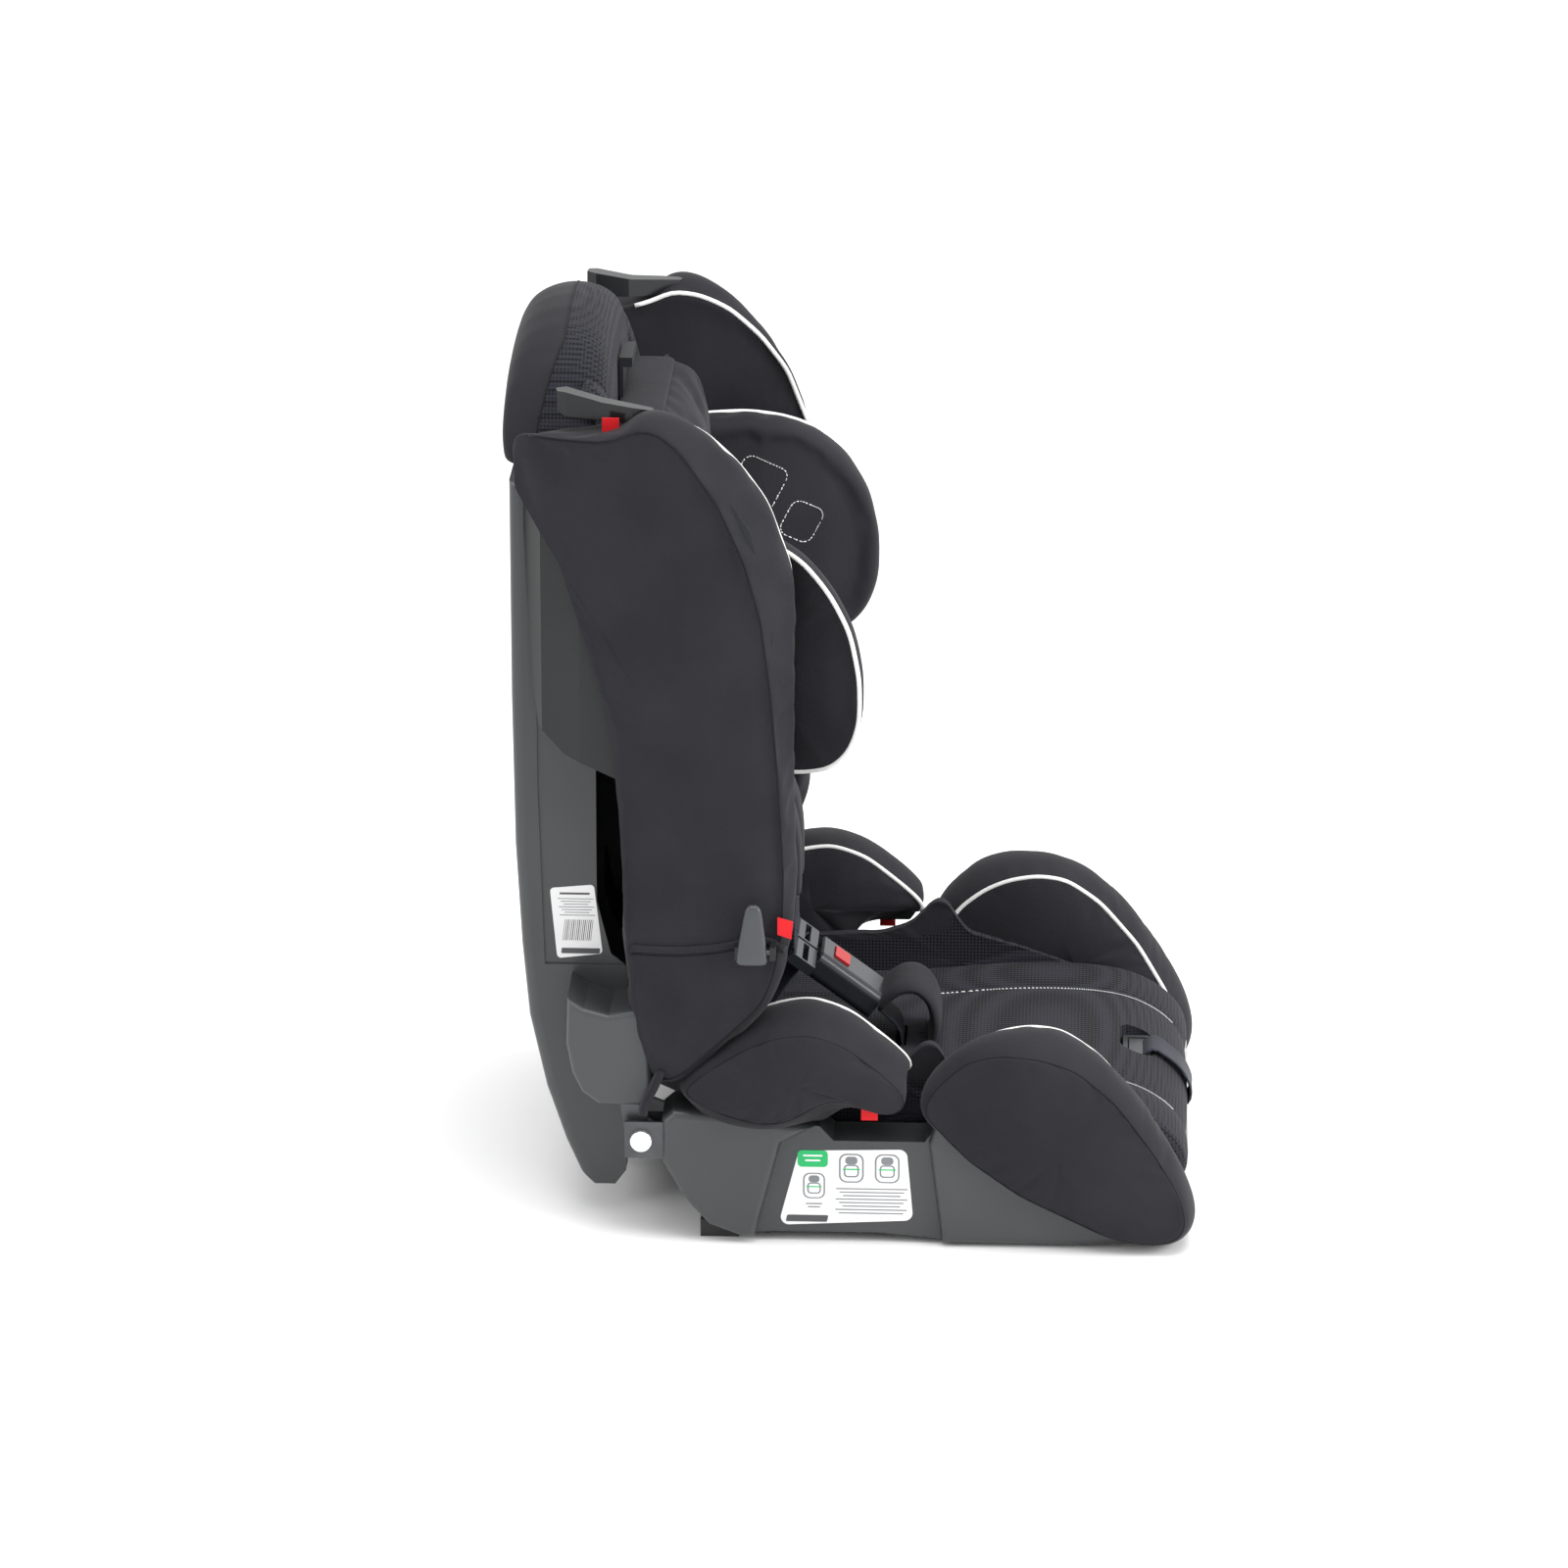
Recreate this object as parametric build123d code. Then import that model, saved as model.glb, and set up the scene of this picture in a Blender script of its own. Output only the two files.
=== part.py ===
"""Convertible child car seat: a booster base, a reclining winged backrest on two hinge pins,
a height-adjustable winged headrest, and a three-strap harness with a central buckle.

Millimetres. +X points to the front of the seat, +Z up, and the seat is symmetric about Y = 0
apart from its labels. The origin is on the floor, under the middle of the seat.
"right" is the seated child's right hand, on the -Y side.
"""

from build123d import *
import os

# ---------------------------------------------------------------- driving dimensions
FLOOR_GAP = 2.5          # the plastic stands this far off the floor, on its rubber feet
WALL = 3.5               # wall of the moulded shells
SKIRT_Y = 204.0          # half width of the base at its recessed side panels
BULGE_Y = 212.0          # half width of the base at its front and rear side bulges
CHEEK_Y = 166.0          # inner face of the raised cheeks under armrest and thigh bolster
DECK_Z = 62.0            # top of the base's deck, under the seat cushion
PIVOT = (-153.0, 79.0)   # recline axis: X and Z
RACK_Y = 60.0            # middle of each recline rack plate
RACK_R = 70.0            # its toothed edge, from the recline axis
PIN_R = 5.0              # recline pin
PIN_CLEARANCE = 0.05     # radial running clearance of the pin
BACK_Y = 150.0           # half width of the back shell's spine
LABEL_Y = 148.4          # half width at the spine's recessed side panels
COLUMN_Y = 118.0         # half width of the column core at the top of the back
SLOT_Y = 18.0            # half width of the slot that the headrest's neck runs in
SLOT_TOP = 572.0         # top of that slot
RAIL_Y = 45.0            # headrest guide rods, each side of the middle
RAIL_X = -197.0
RAIL_R = 4.0
RAIL_CLEARANCE = 0.08    # radial running clearance of the slider on its rods
STRAP_Y = 21.0           # middle of each shoulder strap, each side
STRAP_W = 34.0           # webbing width
STRAP_T = 1.8            # webbing thickness


# ---------------------------------------------------------------- building helpers
def side_prism(points, y_out, y_in, radius=0.0):
    """A side outline of (x, z) points, solid between two values of y (y_out < y_in)."""
    if radius:
        line = FilletPolyline(*points, radius=radius, close=True)
    else:
        line = Polyline(*points, close=True)
    return prism_of(make_face(line), y_out, y_in)


def prism_of(face, y_out, y_in):
    """A face drawn in local (x, z), solid between two values of y."""
    plane = Plane(origin=(0, y_in, 0), x_dir=(1, 0, 0), z_dir=(0, -1, 0))
    return extrude(plane * face, amount=y_in - y_out, dir=(0, -1, 0))


def plan_prism(points, z_low, z_high):
    """A plan outline of (x, y) points, solid between two heights."""
    line = Polyline(*points, close=True)
    return extrude(Pos(0, 0, z_low) * make_face(line), amount=z_high - z_low, dir=(0, 0, 1))


def arch_prism(half, x_low, x_high, thinner=0.0):
    """An arch seen from the front, from the (y, z) points of its left half, solid between two x."""
    line = Polyline(*[(-y, z) for y, z in half[::-1]], *half[1:], close=True)
    face = make_face(line)
    if thinner:
        face = offset(face, amount=-thinner).faces()[0]
    plane = Plane(origin=(x_low, 0, 0), x_dir=(0, 1, 0), z_dir=(1, 0, 0))
    return extrude(plane * face, amount=x_high - x_low, dir=(1, 0, 0))


def block(x, y, z):
    """A box from its (low, high) limits along each axis."""
    size = [high - low for low, high in (x, y, z)]
    middle = [(high + low) / 2 for low, high in (x, y, z)]
    return Pos(*middle) * Box(*size)


def rod_y(x, z, radius, y_low, y_high):
    """A round bar along Y."""
    return Pos(x, (y_low + y_high) / 2, z) * Rot(90, 0, 0) * Cylinder(radius, y_high - y_low)


def rod_x(y, z, radius, x_low, x_high):
    """A round bar along X."""
    return Pos((x_low + x_high) / 2, y, z) * Rot(0, 90, 0) * Cylinder(radius, x_high - x_low)


def rod_z(x, y, radius, z_low, z_high):
    """A round bar along Z."""
    return Pos(x, y, (z_low + z_high) / 2) * Cylinder(radius, z_high - z_low)


def ribbon(points, thickness, y_low, y_high):
    """A strip of even thickness that follows (x, z) points, between two values of y."""
    vectors = [Vector(*p) for p in points]
    outer = []
    for i, here in enumerate(vectors):
        before = vectors[max(i - 1, 0)]
        after = vectors[min(i + 1, len(vectors) - 1)]
        along = (after - before).normalized()
        outer.append(here + Vector(-along.Y, along.X) * thickness)
    near = Spline(*vectors)
    far = Spline(*outer)
    ends = [Line(vectors[0], outer[0]), Line(vectors[-1], outer[-1])]
    plane = Plane(origin=(0, y_high, 0), x_dir=(1, 0, 0), z_dir=(0, -1, 0))
    face = plane * make_face([near, far, *ends])
    return extrude(face, amount=y_high - y_low, dir=(0, -1, 0))


def mirrored(shape):
    """The same piece on the child's left, +Y."""
    return mirror(shape, about=Plane.XZ)


PARTS = {}


def keep(name, shape):
    """Stores a finished sub-part under its node name and returns it."""
    PARTS[name] = shape
    return shape


def keep_pair(name, right):
    """Stores a right-hand sub-part and its mirror image."""
    keep(name + "_right", right)
    keep(name + "_left", mirrored(right))
    return right


# ---------------------------------------------------------------- base shell
REAR_FOOT = [(-138, 63), (-121, 33), (-104, 14), (-80, 5), (-71, 5), (-52, 78), (-26, 92),
             (-100, 101), (-130, 103), (-138, 96)]
FRONT_FOOT = [(65, FLOOR_GAP), (168, FLOOR_GAP), (208, 6), (222, 30), (218, 66), (188, 102), (150, 124),
              (106, 127), (80, 114), (60, 96), (55, 80)]
SKIRT = [(-136, 64), (-119, 34), (-102, 14), (-78, 7), (-50, 8), (20, 8), (64, 4), (168, 4),
         (207, 7), (220, 30), (216, 66), (186, 100), (150, 122), (107, 125), (82, 112), (60, 90),
         (52, 79), (-14, 79), (-24, 90), (-100, 99), (-129, 101), (-136, 96)]
DECK = [(-119, 34), (-102, 14), (-78, 7), (-50, 8), (20, 8), (64, 4), (168, 4),
        (207, 7), (226, 30), (226, DECK_Z), (-134.9, DECK_Z)]


def inset(points, by):
    """The same outline drawn in by a wall thickness."""
    line = Polyline(*points, close=True)
    smaller = offset(make_face(line), amount=-by)
    return smaller.faces().sort_by(Axis.X)[0]


def base_solid():
    """The base's outside, filled in: deck, cheeks, and the rounded bulges of the side walls."""
    deck = side_prism(DECK, -CHEEK_Y, CHEEK_Y)
    cheek = side_prism(SKIRT, -SKIRT_Y, -CHEEK_Y)
    bulges = []
    for outline in (REAR_FOOT, FRONT_FOOT):
        bulge = side_prism(outline, -BULGE_Y, -CHEEK_Y - 4)
        rim = bulge.faces().sort_by(Axis.Y)[0].edges()
        bulges.append(fillet(rim, 6))
    right = cheek + bulges[0] + bulges[1]
    return deck + right + mirrored(right)


def base_cavity():
    """The space under the base, open at the bottom, one wall thickness inside its outline."""
    drop = block((-104, 205), (-CHEEK_Y, CHEEK_Y), (-20, 30))
    inner = prism_of(inset(DECK, WALL), -CHEEK_Y - 4, CHEEK_Y + 4)
    cheek = prism_of(inset(SKIRT, WALL), -SKIRT_Y + WALL, -CHEEK_Y - WALL)
    floor_cut = block((-92, 60), (-SKIRT_Y + WALL, -CHEEK_Y - WALL), (-20, 30))
    front_cut = block((72, 200), (-SKIRT_Y + WALL, -CHEEK_Y - WALL), (-20, 30))
    right = cheek + floor_cut + front_cut
    return inner + drop + right + mirrored(right)


BASE_SOLID = base_solid()


def base_shell():
    """Booster moulding with the slots its recline parts pass through."""
    shell = BASE_SOLID - base_cavity()
    for y in (-RACK_Y, RACK_Y):
        shell -= block((-150, -88), (y - 5.5, y + 5.5), (0, DECK_Z - WALL))
    shell -= block((198, 232), (-18, 18), (7, 23))
    shell -= block((25, 32), (-22, 22), (40, 80))
    shell -= block((194, 216), (-24, 24), (40, 80))
    return shell


keep("base_shell", base_shell())

# Soft feet set into the underside, one group of four.
FOOT_PLACES = [(-97, 186, 13.0), (-97, -186, 13.0), (120, 186, 4.0), (120, -186, 4.0)]
feet = [block((x - 14, x + 14), (y - 11, y + 11), (0, tall)) for x, y, tall in FOOT_PLACES]
feet = [foot - BASE_SOLID for foot in feet]
keep("rubber_feet", Compound(children=[f.solids()[0] for f in feet]))


# ---------------------------------------------------------------- recline hinge
PX, PZ = PIVOT
BRACKET_Z = (PZ - 14, PZ + 14)


def hinge_bracket():
    """Folded steel fork bolted to the rear face of the base, one each side."""
    ears = block((PX - 12, -139), (-209, -206), BRACKET_Z) + block((PX - 12, -139), (-190, -187), BRACKET_Z)
    web = block((-139, -136), (-209, -187), BRACKET_Z)
    hole = rod_y(PX, PZ, PIN_R + PIN_CLEARANCE, -215, -180)
    return ears + web - hole - BASE_SOLID


def recline_pin():
    """Headed steel pin through the fork and the back's lug."""
    shaft = rod_y(PX, PZ, PIN_R, -210, -183)
    head = rod_y(PX, PZ, 8.0, -213.5, -209.2)
    head = fillet(head.faces().sort_by(Axis.Y)[0].edges(), 1.5)
    return shaft + head


def pin_clip():
    """Retaining ring on the pin's inner end."""
    return rod_y(PX, PZ, 8.0, -186.6, -184.8) - rod_y(PX, PZ, PIN_R, -190, -180)


def hinge_lug():
    """Steel arm of the backrest that turns on the pin, between the fork's ears."""
    eye = rod_y(PX, PZ, 13.0, -200, -195)
    arm = side_prism([(PX - 12, PZ), (PX + 5, PZ + 4), (PX + 1, 158), (PX - 24, 158)], -200, -195)
    return eye + arm - rod_y(PX, PZ, PIN_R + PIN_CLEARANCE, -210, -180)


bracket = keep_pair("hinge_bracket", hinge_bracket())
pin = keep_pair("recline_pin", recline_pin())
clip_right = pin_clip()
keep("pin_clips", Compound(children=[clip_right.solids()[0], mirrored(clip_right).solids()[0]]))
lug = keep_pair("hinge_lug", hinge_lug())


# ---------------------------------------------------------------- armrests
ARM_PAD = [(-127, 121), (-107, 141), (-82, 160), (-56, 173), (-30, 177), (-4, 168), (22, 147), (38, 130),
           (44, 120), (41, 112), (30, 108), (8, 109), (-8, 106), (-28, 104), (-63, 103), (-100, 107)]
ARM_SHELL = [(-118, 110), (-60, 106), (-14, 108), (8, 111), (30, 111), (35, 118), (22, 132), (-8, 128),
             (-60, 124), (-112, 124)]


def armrest_shell():
    """Moulded arm that stands on the base's rear cheek and reaches forward over the belt slot."""
    arm = side_prism(ARM_SHELL, -216, -178, radius=3)
    foot = block((-100, -30), (-200, -180), (99, 112)) - BASE_SOLID
    return arm + foot


arm_shell = armrest_shell()
keep_pair("armrest_shell", arm_shell)


def armrest_pad():
    """Foam and fabric pad over the arm, with a skirt down to the seat cushion."""
    outline = side_prism(ARM_PAD, -228, -164)
    skirt = side_prism([(-120, 88), (-100, 84), (-20, 84), (-16, 94), (-24, 112), (-112, 116)], -CHEEK_Y + 0.5, -158)
    return outline + skirt - side_prism(ARM_SHELL, -216, -178, radius=3) - arm_shell - BASE_SOLID


keep_pair("armrest_pad", armrest_pad())


# ---------------------------------------------------------------- seat cushion and bolsters
CUSHION = [(-125, 63), (-125, 84), (-60, 82), (20, 83), (90, 89), (150, 91), (200, 84), (232, 68),
           (243, 50), (240, 30), (231, 24), (228, 36), (227.5, 62.5), (200, 63)]
BOLSTER = [(53, 110), (57, 124), (66, 134), (82, 147), (104, 156), (132, 157), (162, 149), (190, 125), (219, 88),
           (240, 61), (250, 38), (248, 16), (236, 6), (213, 4), (185, 8), (121, 39), (82, 65)]


def seat_cushion():
    """Centre seat pad over the deck and down its front, cut for the crotch strap and adjuster."""
    pad = side_prism(CUSHION, -155, 155) - BASE_SOLID
    pad -= block((25, 32), (-22, 22), (50, 120))
    pad -= block((192, 218), (-27, 27), (50, 120))
    return pad


def thigh_bolster():
    """Padded cheek beside the thigh: foam on the base's front cheek, wrapped in fabric."""
    outline = side_prism(BOLSTER, -226, -157)
    return (outline - BASE_SOLID).solids().sort_by(SortBy.VOLUME)[-1]


keep("seat_cushion", seat_cushion())
keep_pair("thigh_bolster", thigh_bolster())


# ---------------------------------------------------------------- harness adjuster
def adjuster_housing():
    """Small moulded frame let into the front of the deck, which grips the adjuster strap."""
    frame = block((194.5, 215.5), (-23.5, 23.5), (50, 78))
    frame -= block((198, 212), (-19, 19), (54, 90))
    return frame - block((212, 220), (-19, 19), (70, 90)) - block((190, 230), (-17, 17), (40, 54))


def adjuster_button():
    """Press lever across the housing, on its own small pin."""
    plate = block((199, 211), (-18, 18), (74, 77))
    post = block((203, 207), (-4, 4), (60, 74))
    return plate + post


def adjuster_strap():
    """Webbing tail from the adjuster, lying down the front of the cushion."""
    path = [(213, 76.4), (220, 79.5), (228, 74.6), (237.5, 65.5), (244.3, 52), (243.5, 44)]
    return ribbon(path, STRAP_T, -15, 15)


keep("adjuster_housing", adjuster_housing())
keep("adjuster_button", adjuster_button())
keep("adjuster_strap", adjuster_strap() - PARTS["seat_cushion"] - PARTS["adjuster_housing"])


# ---------------------------------------------------------------- buckle and crotch strap
BUCKLE = Plane(origin=(10, 0, 113), x_dir=(-0.803, 0, 0.596), z_dir=(0.596, 0, 0.803))
BUCKLE_W = 46.0


def in_buckle(x, y, z):
    """A box in the buckle's own frame: x towards the tongues, y to the right, z out of its face."""
    return BUCKLE * block(x, y, z)


def buckle_body():
    """Two-part buckle case, hollow, with a mouth for the tongues and a window for the button."""
    case = BUCKLE * fillet((Pos(28, 0, 0) * Box(56, BUCKLE_W, 22)).edges().filter_by(Axis.X), 7)
    case -= in_buckle((8, 60), (-19, 19), (-5, 5))
    return case - in_buckle((33, 47), (-11, 11), (4, 14))


def buckle_button():
    """Red release button in the buckle's window."""
    return BUCKLE * Pos(40, 0, 8.5) * Box(13, 21, 8)


def buckle_tongue():
    """Plastic-covered steel tongue with an eye for the webbing."""
    blade = in_buckle((14, 58), (2, 17), (-1.5, 1.5))
    head = in_buckle((58, 78), (2, 40), (-4, 4))
    return blade + head - in_buckle((65, 70), (4.5, 37.5), (-6, 6))


def crotch_strap():
    """Webbing from under the deck up through the cushion to the buckle's root."""
    path = [(30, 54), (30, 84), (27, 96), (19.5, 104), (13.5, 109.2)]
    return ribbon(path, STRAP_T, -18, 18)


def crotch_pad():
    """Folded foam comforter between buckle and child, over the crotch strap."""
    path = [(17.5, 115.5), (27, 125), (40, 126), (49.5, 116), (51.5, 98), (49, 80)]
    return ribbon(path, 8.0, -30, 30)


keep("buckle_body", buckle_body())
keep("buckle_button", buckle_button())
keep_pair("buckle_tongue", buckle_tongue())
keep("crotch_strap", crotch_strap() - PARTS["buckle_body"])
keep("crotch_pad", crotch_pad() - PARTS["seat_cushion"] - PARTS["buckle_body"])

ANCHOR_BAR_Z = 51.0
keep("crotch_anchor", rod_y(30.0, ANCHOR_BAR_Z, 3, -26, 26))


# ---------------------------------------------------------------- red belt-path tags on the base
def arm_tag():
    """Red webbing tab under the front of the armrest."""
    return block((6, 18), (-206, -204.4), (96, 107.6))


tab = arm_tag()
keep("armrest_belt_tags", Compound(children=[tab, mirrored(tab)]))


# ---------------------------------------------------------------- labels
def base_label():
    """Blank instruction label on the right-hand side panel."""
    outline = [(-39, 71), (39, 73), (44, 18), (-54, 13)]
    return side_prism(outline, -SKIRT_Y - 0.4, -SKIRT_Y, radius=6)


keep("base_label", base_label())


# ---------------------------------------------------------------- back shell
SPINE = [(-248.5, 556), (-248.5, 394), (-247, 282), (-243, 206), (-238, 150), (-226, 95), (-212, 53), (-202, 30),
         (-191, 21), (-176, 21), (-168, 32), (-166, 90), (-166, 190), (-178, 200), (-188, 240), (-188, 556)]
COLUMN = [(-246, 553), (-245, 604), (-241, 624), (-233, 636), (-221, 642.5), (-209, 644), (-198, 641.5),
          (-189, 635), (-185, 622), (-183.5, 600), (-183.5, 553)]
COLUMN_ARCH = [(0, 644), (30, 642.5), (57, 636.5), (75, 629), (92, 615), (105, 597), (114, 580), (118, 566),
               (118, 550)]
LOWER_HOUSING = [(-206, 186), (-207, 150), (-203, 128), (-196, 113), (-184, 104), (-148, 103), (-144, 118),
                 (-147, 148), (-151, 178), (-176, 173), (-194, 178)]


def spine_solid():
    """The outside of the spine and the column above it, filled in."""
    spine = side_prism(SPINE, -BACK_Y, BACK_Y)
    rear = [e for e in spine.edges().filter_by(Axis.Z, reverse=True) if e.center().X < -200 and abs(e.center().Y) > 149]
    spine = fillet(rear, 9)
    column = side_prism(COLUMN, -COLUMN_Y, COLUMN_Y) & arch_prism(COLUMN_ARCH, -260, -170)
    housing = side_prism(LOWER_HOUSING, -205, -BACK_Y + 6)
    housing = fillet(housing.faces().sort_by(Axis.Y)[0].edges(), 5)
    return spine + column + housing + mirrored(housing)


SPINE_SOLID = spine_solid()


def spine_cavity():
    """The hollow of the back shell, open towards the child."""
    inner = prism_of(inset(SPINE, WALL), -BACK_Y + WALL, BACK_Y - WALL)
    upper_mouth = block((-230, -160), (-BACK_Y + WALL, BACK_Y - WALL), (245, 552.5))
    lower_mouth = block((-200, -150), (-BACK_Y + WALL, BACK_Y - WALL), (60, 188))
    mid_mouth = block((-215, -150), (-BACK_Y + WALL, BACK_Y - WALL), (186, 247))
    column = prism_of(inset(COLUMN, WALL), -COLUMN_Y, COLUMN_Y) & arch_prism(COLUMN_ARCH, -260, -170, WALL)
    joining = block((-238, -187), (-COLUMN_Y + WALL, COLUMN_Y - WALL), (540, 566))
    housing = prism_of(inset(LOWER_HOUSING, WALL), -205 + WALL, -BACK_Y + 10)
    lug_way = block((-178, -147), (-202, -193), (96, 112))
    return inner + upper_mouth + lower_mouth + mid_mouth + column + joining + housing + lug_way \
        + mirrored(housing) + mirrored(lug_way)


def back_shell():
    """Moulded rear shell: spine, column, and a hollow housing each side for the hinge arm."""
    shell = SPINE_SOLID - spine_cavity()
    for y in range(-110, 111, 44):
        shell -= block((-260, -246.7), (y - 9, y + 9), (60, 540))
    recess = side_prism([(-226, 192), (-150, 192), (-150, 540), (-230, 540), (-230, 330)], -BACK_Y - 0.1, -LABEL_Y)
    shell -= recess + mirrored(recess)
    return shell - block((-190, -160), (-SLOT_Y, SLOT_Y), (540, SLOT_TOP))


keep("back_shell", back_shell())


# ---------------------------------------------------------------- recline lock and handle
BAR_R = 3.5
BAR_ANGLE = 46.0         # below straight ahead, where the lock bar meets the racks
BAR_REST = RACK_R + BAR_R + 0.5


def polar(radius, degrees):
    """(x, z) at a radius from the pivot, measured down from straight ahead."""
    spoke = Vector(radius, 0).rotate(Axis.Z, -degrees)
    return PX + spoke.X, PZ + spoke.Y


def recline_rack():
    """Notched steel plate bolted to the front of the spine, which the lock bar drops into."""
    fan = [(PX - 20, PZ - 17), (PX - 20, PZ - 52)] + [polar(RACK_R, a) for a in range(77, 40, -4)]
    plate = side_prism(fan, -RACK_Y - 2.5, -RACK_Y + 2.5)
    flange = block((-174, -161), (-RACK_Y - 16, -RACK_Y + 2.5), (36, 60))
    rack = plate + flange - SPINE_SOLID
    for step in (0.0, 12.0, 18.0, 23.0):
        x, z = polar(RACK_R + 1.5, BAR_ANGLE + step)
        rack -= rod_y(x, z, BAR_R + 0.2, -RACK_Y - 5, -RACK_Y + 5)
    return rack.solids().sort_by(SortBy.VOLUME)[-1]


def recline_handle():
    """Front pull handle, its rod, and the cross bar that locks the recline."""
    x, z = polar(BAR_REST, BAR_ANGLE)
    grip = side_prism([(229, 7), (240, 7), (244, 14), (240, 21), (229, 21)], -36, 36, radius=2.5)
    stem = block((186, 230), (-14, 14), (11, 19))
    crank = block((186, 194), (-8, 8), (11, z + 4))
    rod = rod_x(0, z, 4, x, 190)
    bar = rod_y(x, z, BAR_R, -RACK_Y - 8, RACK_Y + 8)
    return grip + stem + crank + rod + bar


keep_pair("recline_rack", recline_rack())
keep("recline_handle", recline_handle())


# ---------------------------------------------------------------- back wings
WING = [(-241, 562), (-226, 540), (-209, 510), (-189, 452), (-172, 394), (-166, 328), (-161, 231), (-152, 163),
        (-138, 122), (-122, 130), (-92, 158), (-60, 188), (-46, 210), (-38, 244), (-35, 281), (-38, 355),
        (-40, 414), (-39, 472), (-43, 506), (-57, 551), (-85, 588), (-116, 616), (-147, 629), (-154, 622),
        (-160, 608), (-181, 605), (-226, 602), (-241, 597)]
WING_SHELL = [(-240, 566), (-236, 480), (-231, 411), (-227, 384), (-208, 366), (-169, 350), (-152, 345),
              (-146, 200), (-140, 140), (-130, 141), (-76, 192), (-58, 222), (-56, 281), (-58, 470), (-74, 540),
              (-100, 576), (-148, 606), (-196, 592), (-236, 578)]
LEVER_Y = -223.0          # hinge line of the right-hand lock-off lever
LEVER_Z = 230.0
LEVER_EARS = (-82.0, -57.0)
WING_PLAN = [(-262, -136), (-252, -152), (-228, -180), (-175, -206), (-120, -216), (-70, -218), (-46, -209),
             (-37, -193), (-42, -177), (-60, -170), (-120, -166), (-186, -158), (-186, -151), (-240, -151)]


def wing_shell():
    """Thin moulded wing that flares out and forward from the spine, under the fabric."""
    plan = [(-238, -BACK_Y), (-224, -180), (-196, -193), (-130, -203), (-58, -206), (-58, -202), (-130, -199),
            (-196, -189), (-220, -177), (-232, -BACK_Y)]
    skin = side_prism(WING_SHELL, -210, -BACK_Y) & plan_prism(plan, 100, 640)
    ears = []
    for x in LEVER_EARS:
        ears.append(block((x - 2, x + 2), (LEVER_Y - 4, -202), (LEVER_Z - 5, LEVER_Z + 5)))
    skin = skin + ears
    return skin - rod_x(LEVER_Y, LEVER_Z, 2.0, -90, -50)


def shoulder_guide():
    """Open moulded hook that holds the vehicle's shoulder belt, its foot screwed to the wing shell."""
    plan = [(-213, -158), (-206, -153), (-182, -158), (-160, -166), (-144, -172), (-142, -180), (-158, -178),
            (-184, -171), (-206, -168), (-212, -166)]
    side = side_prism([(-215, 629), (-206, 628.5), (-180, 622.5), (-142, 619), (-142, 609), (-178, 609), (-206, 611),
                       (-214, 615)], -190, -140)
    foot = block((-156, -144), (-198, -174), (596, 602)) + block((-156, -144), (-180, -172), (596, 612))
    hook = (plan_prism(plan, 600, 640) & side) + foot - wing_skin
    return hook.solids().sort_by(SortBy.VOLUME)[-1]


def wing_cover():
    """Foam and fabric over the wing shell and the guide's foot."""
    soft = side_prism(WING, -222, -150) & plan_prism(WING_PLAN, 100, 660)
    filled = soft - wing_skin - guide - SPINE_SOLID - side_prism(LOWER_HOUSING, -205, -BACK_Y + 6)
    return filled.solids().sort_by(SortBy.VOLUME)[-1]


wing_skin = wing_shell()
guide = shoulder_guide()
keep_pair("wing_shell", wing_skin)
keep_pair("shoulder_guide", guide)
keep_pair("wing_cover", wing_cover())


# ---------------------------------------------------------------- column cover and back cushion
COLUMN_COVER = [(-250, 557), (-250, 606), (-246, 628), (-237, 642), (-224, 650), (-211, 652), (-197, 649.5),
                (-186, 642), (-181, 626), (-180, 600), (-180, 557)]
HOOD_ARCH = [(0, 652), (30, 650), (60, 644), (80, 636), (100, 621), (114, 601), (124, 581), (130, 566), (130, 557)]


def column_cover():
    """Fabric hood over the top of the back."""
    hood = side_prism(COLUMN_COVER, -130, 130) & arch_prism(HOOD_ARCH, -260, -150)
    hood -= block((-190, -150), (-SLOT_Y, SLOT_Y), (540, SLOT_TOP))
    hood -= block((-246, -230), (-12, 12), (552, 592))
    return hood - SPINE_SOLID - PARTS["wing_cover_right"] - PARTS["wing_cover_left"] - PARTS["back_shell"]


def back_cushion():
    """Back pad in front of the spine: thick below the headrest, thin behind it."""
    outline = [(-164, 92), (-137, 96), (-134, 200), (-136, 320), (-142, 336), (-166, 344), (-168, 553),
               (-187, 553), (-187, 242), (-177, 201), (-165.5, 190.5)]
    pad = side_prism(outline, -146, 146) - block((-195, -162), (-122, 122), (215, 312))
    pad -= block((-200, -150), (-SLOT_Y, SLOT_Y), (382, 565))
    for middle in (-STRAP_Y, STRAP_Y):
        pad -= block((-200, -120), (middle - 18, middle + 18), (321, 330))
    return pad - SPINE_SOLID


keep("back_cushion", back_cushion())
keep("column_cover", column_cover())


# ---------------------------------------------------------------- headrest rails and carrier
def guide_rods():
    """Two steel rods inside the spine that the headrest slides on."""
    return [rod_z(RAIL_X, y, RAIL_R, 372, 600).solids()[0] for y in (-RAIL_Y, RAIL_Y)]


def rod_mounts():
    """Lower and upper blocks that hold the rods in the back shell."""
    rear = -245.5
    blocks = []
    for z in (366, 594):
        body = block((rear, -188.5), (-60, 60), (z, z + 12))
        for y in (-RAIL_Y, RAIL_Y):
            body -= rod_z(RAIL_X, y, RAIL_R, z - 20, z + 30)
        blocks.append((body - PARTS["back_shell"] - PARTS["back_cushion"]).solids().sort_by(SortBy.VOLUME)[-1])
    return blocks


def height_rack():
    """Notched strip on the inside of the spine for the headrest's height stops."""
    strip = block((-245.4, -233), (-9, 9), (384, 590))
    for step in range(7):
        z = 404 + step * 20.0
        strip -= block((-238, -230), (-12, 12), (z, z + 8))
    return strip - PARTS["back_shell"]


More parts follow.
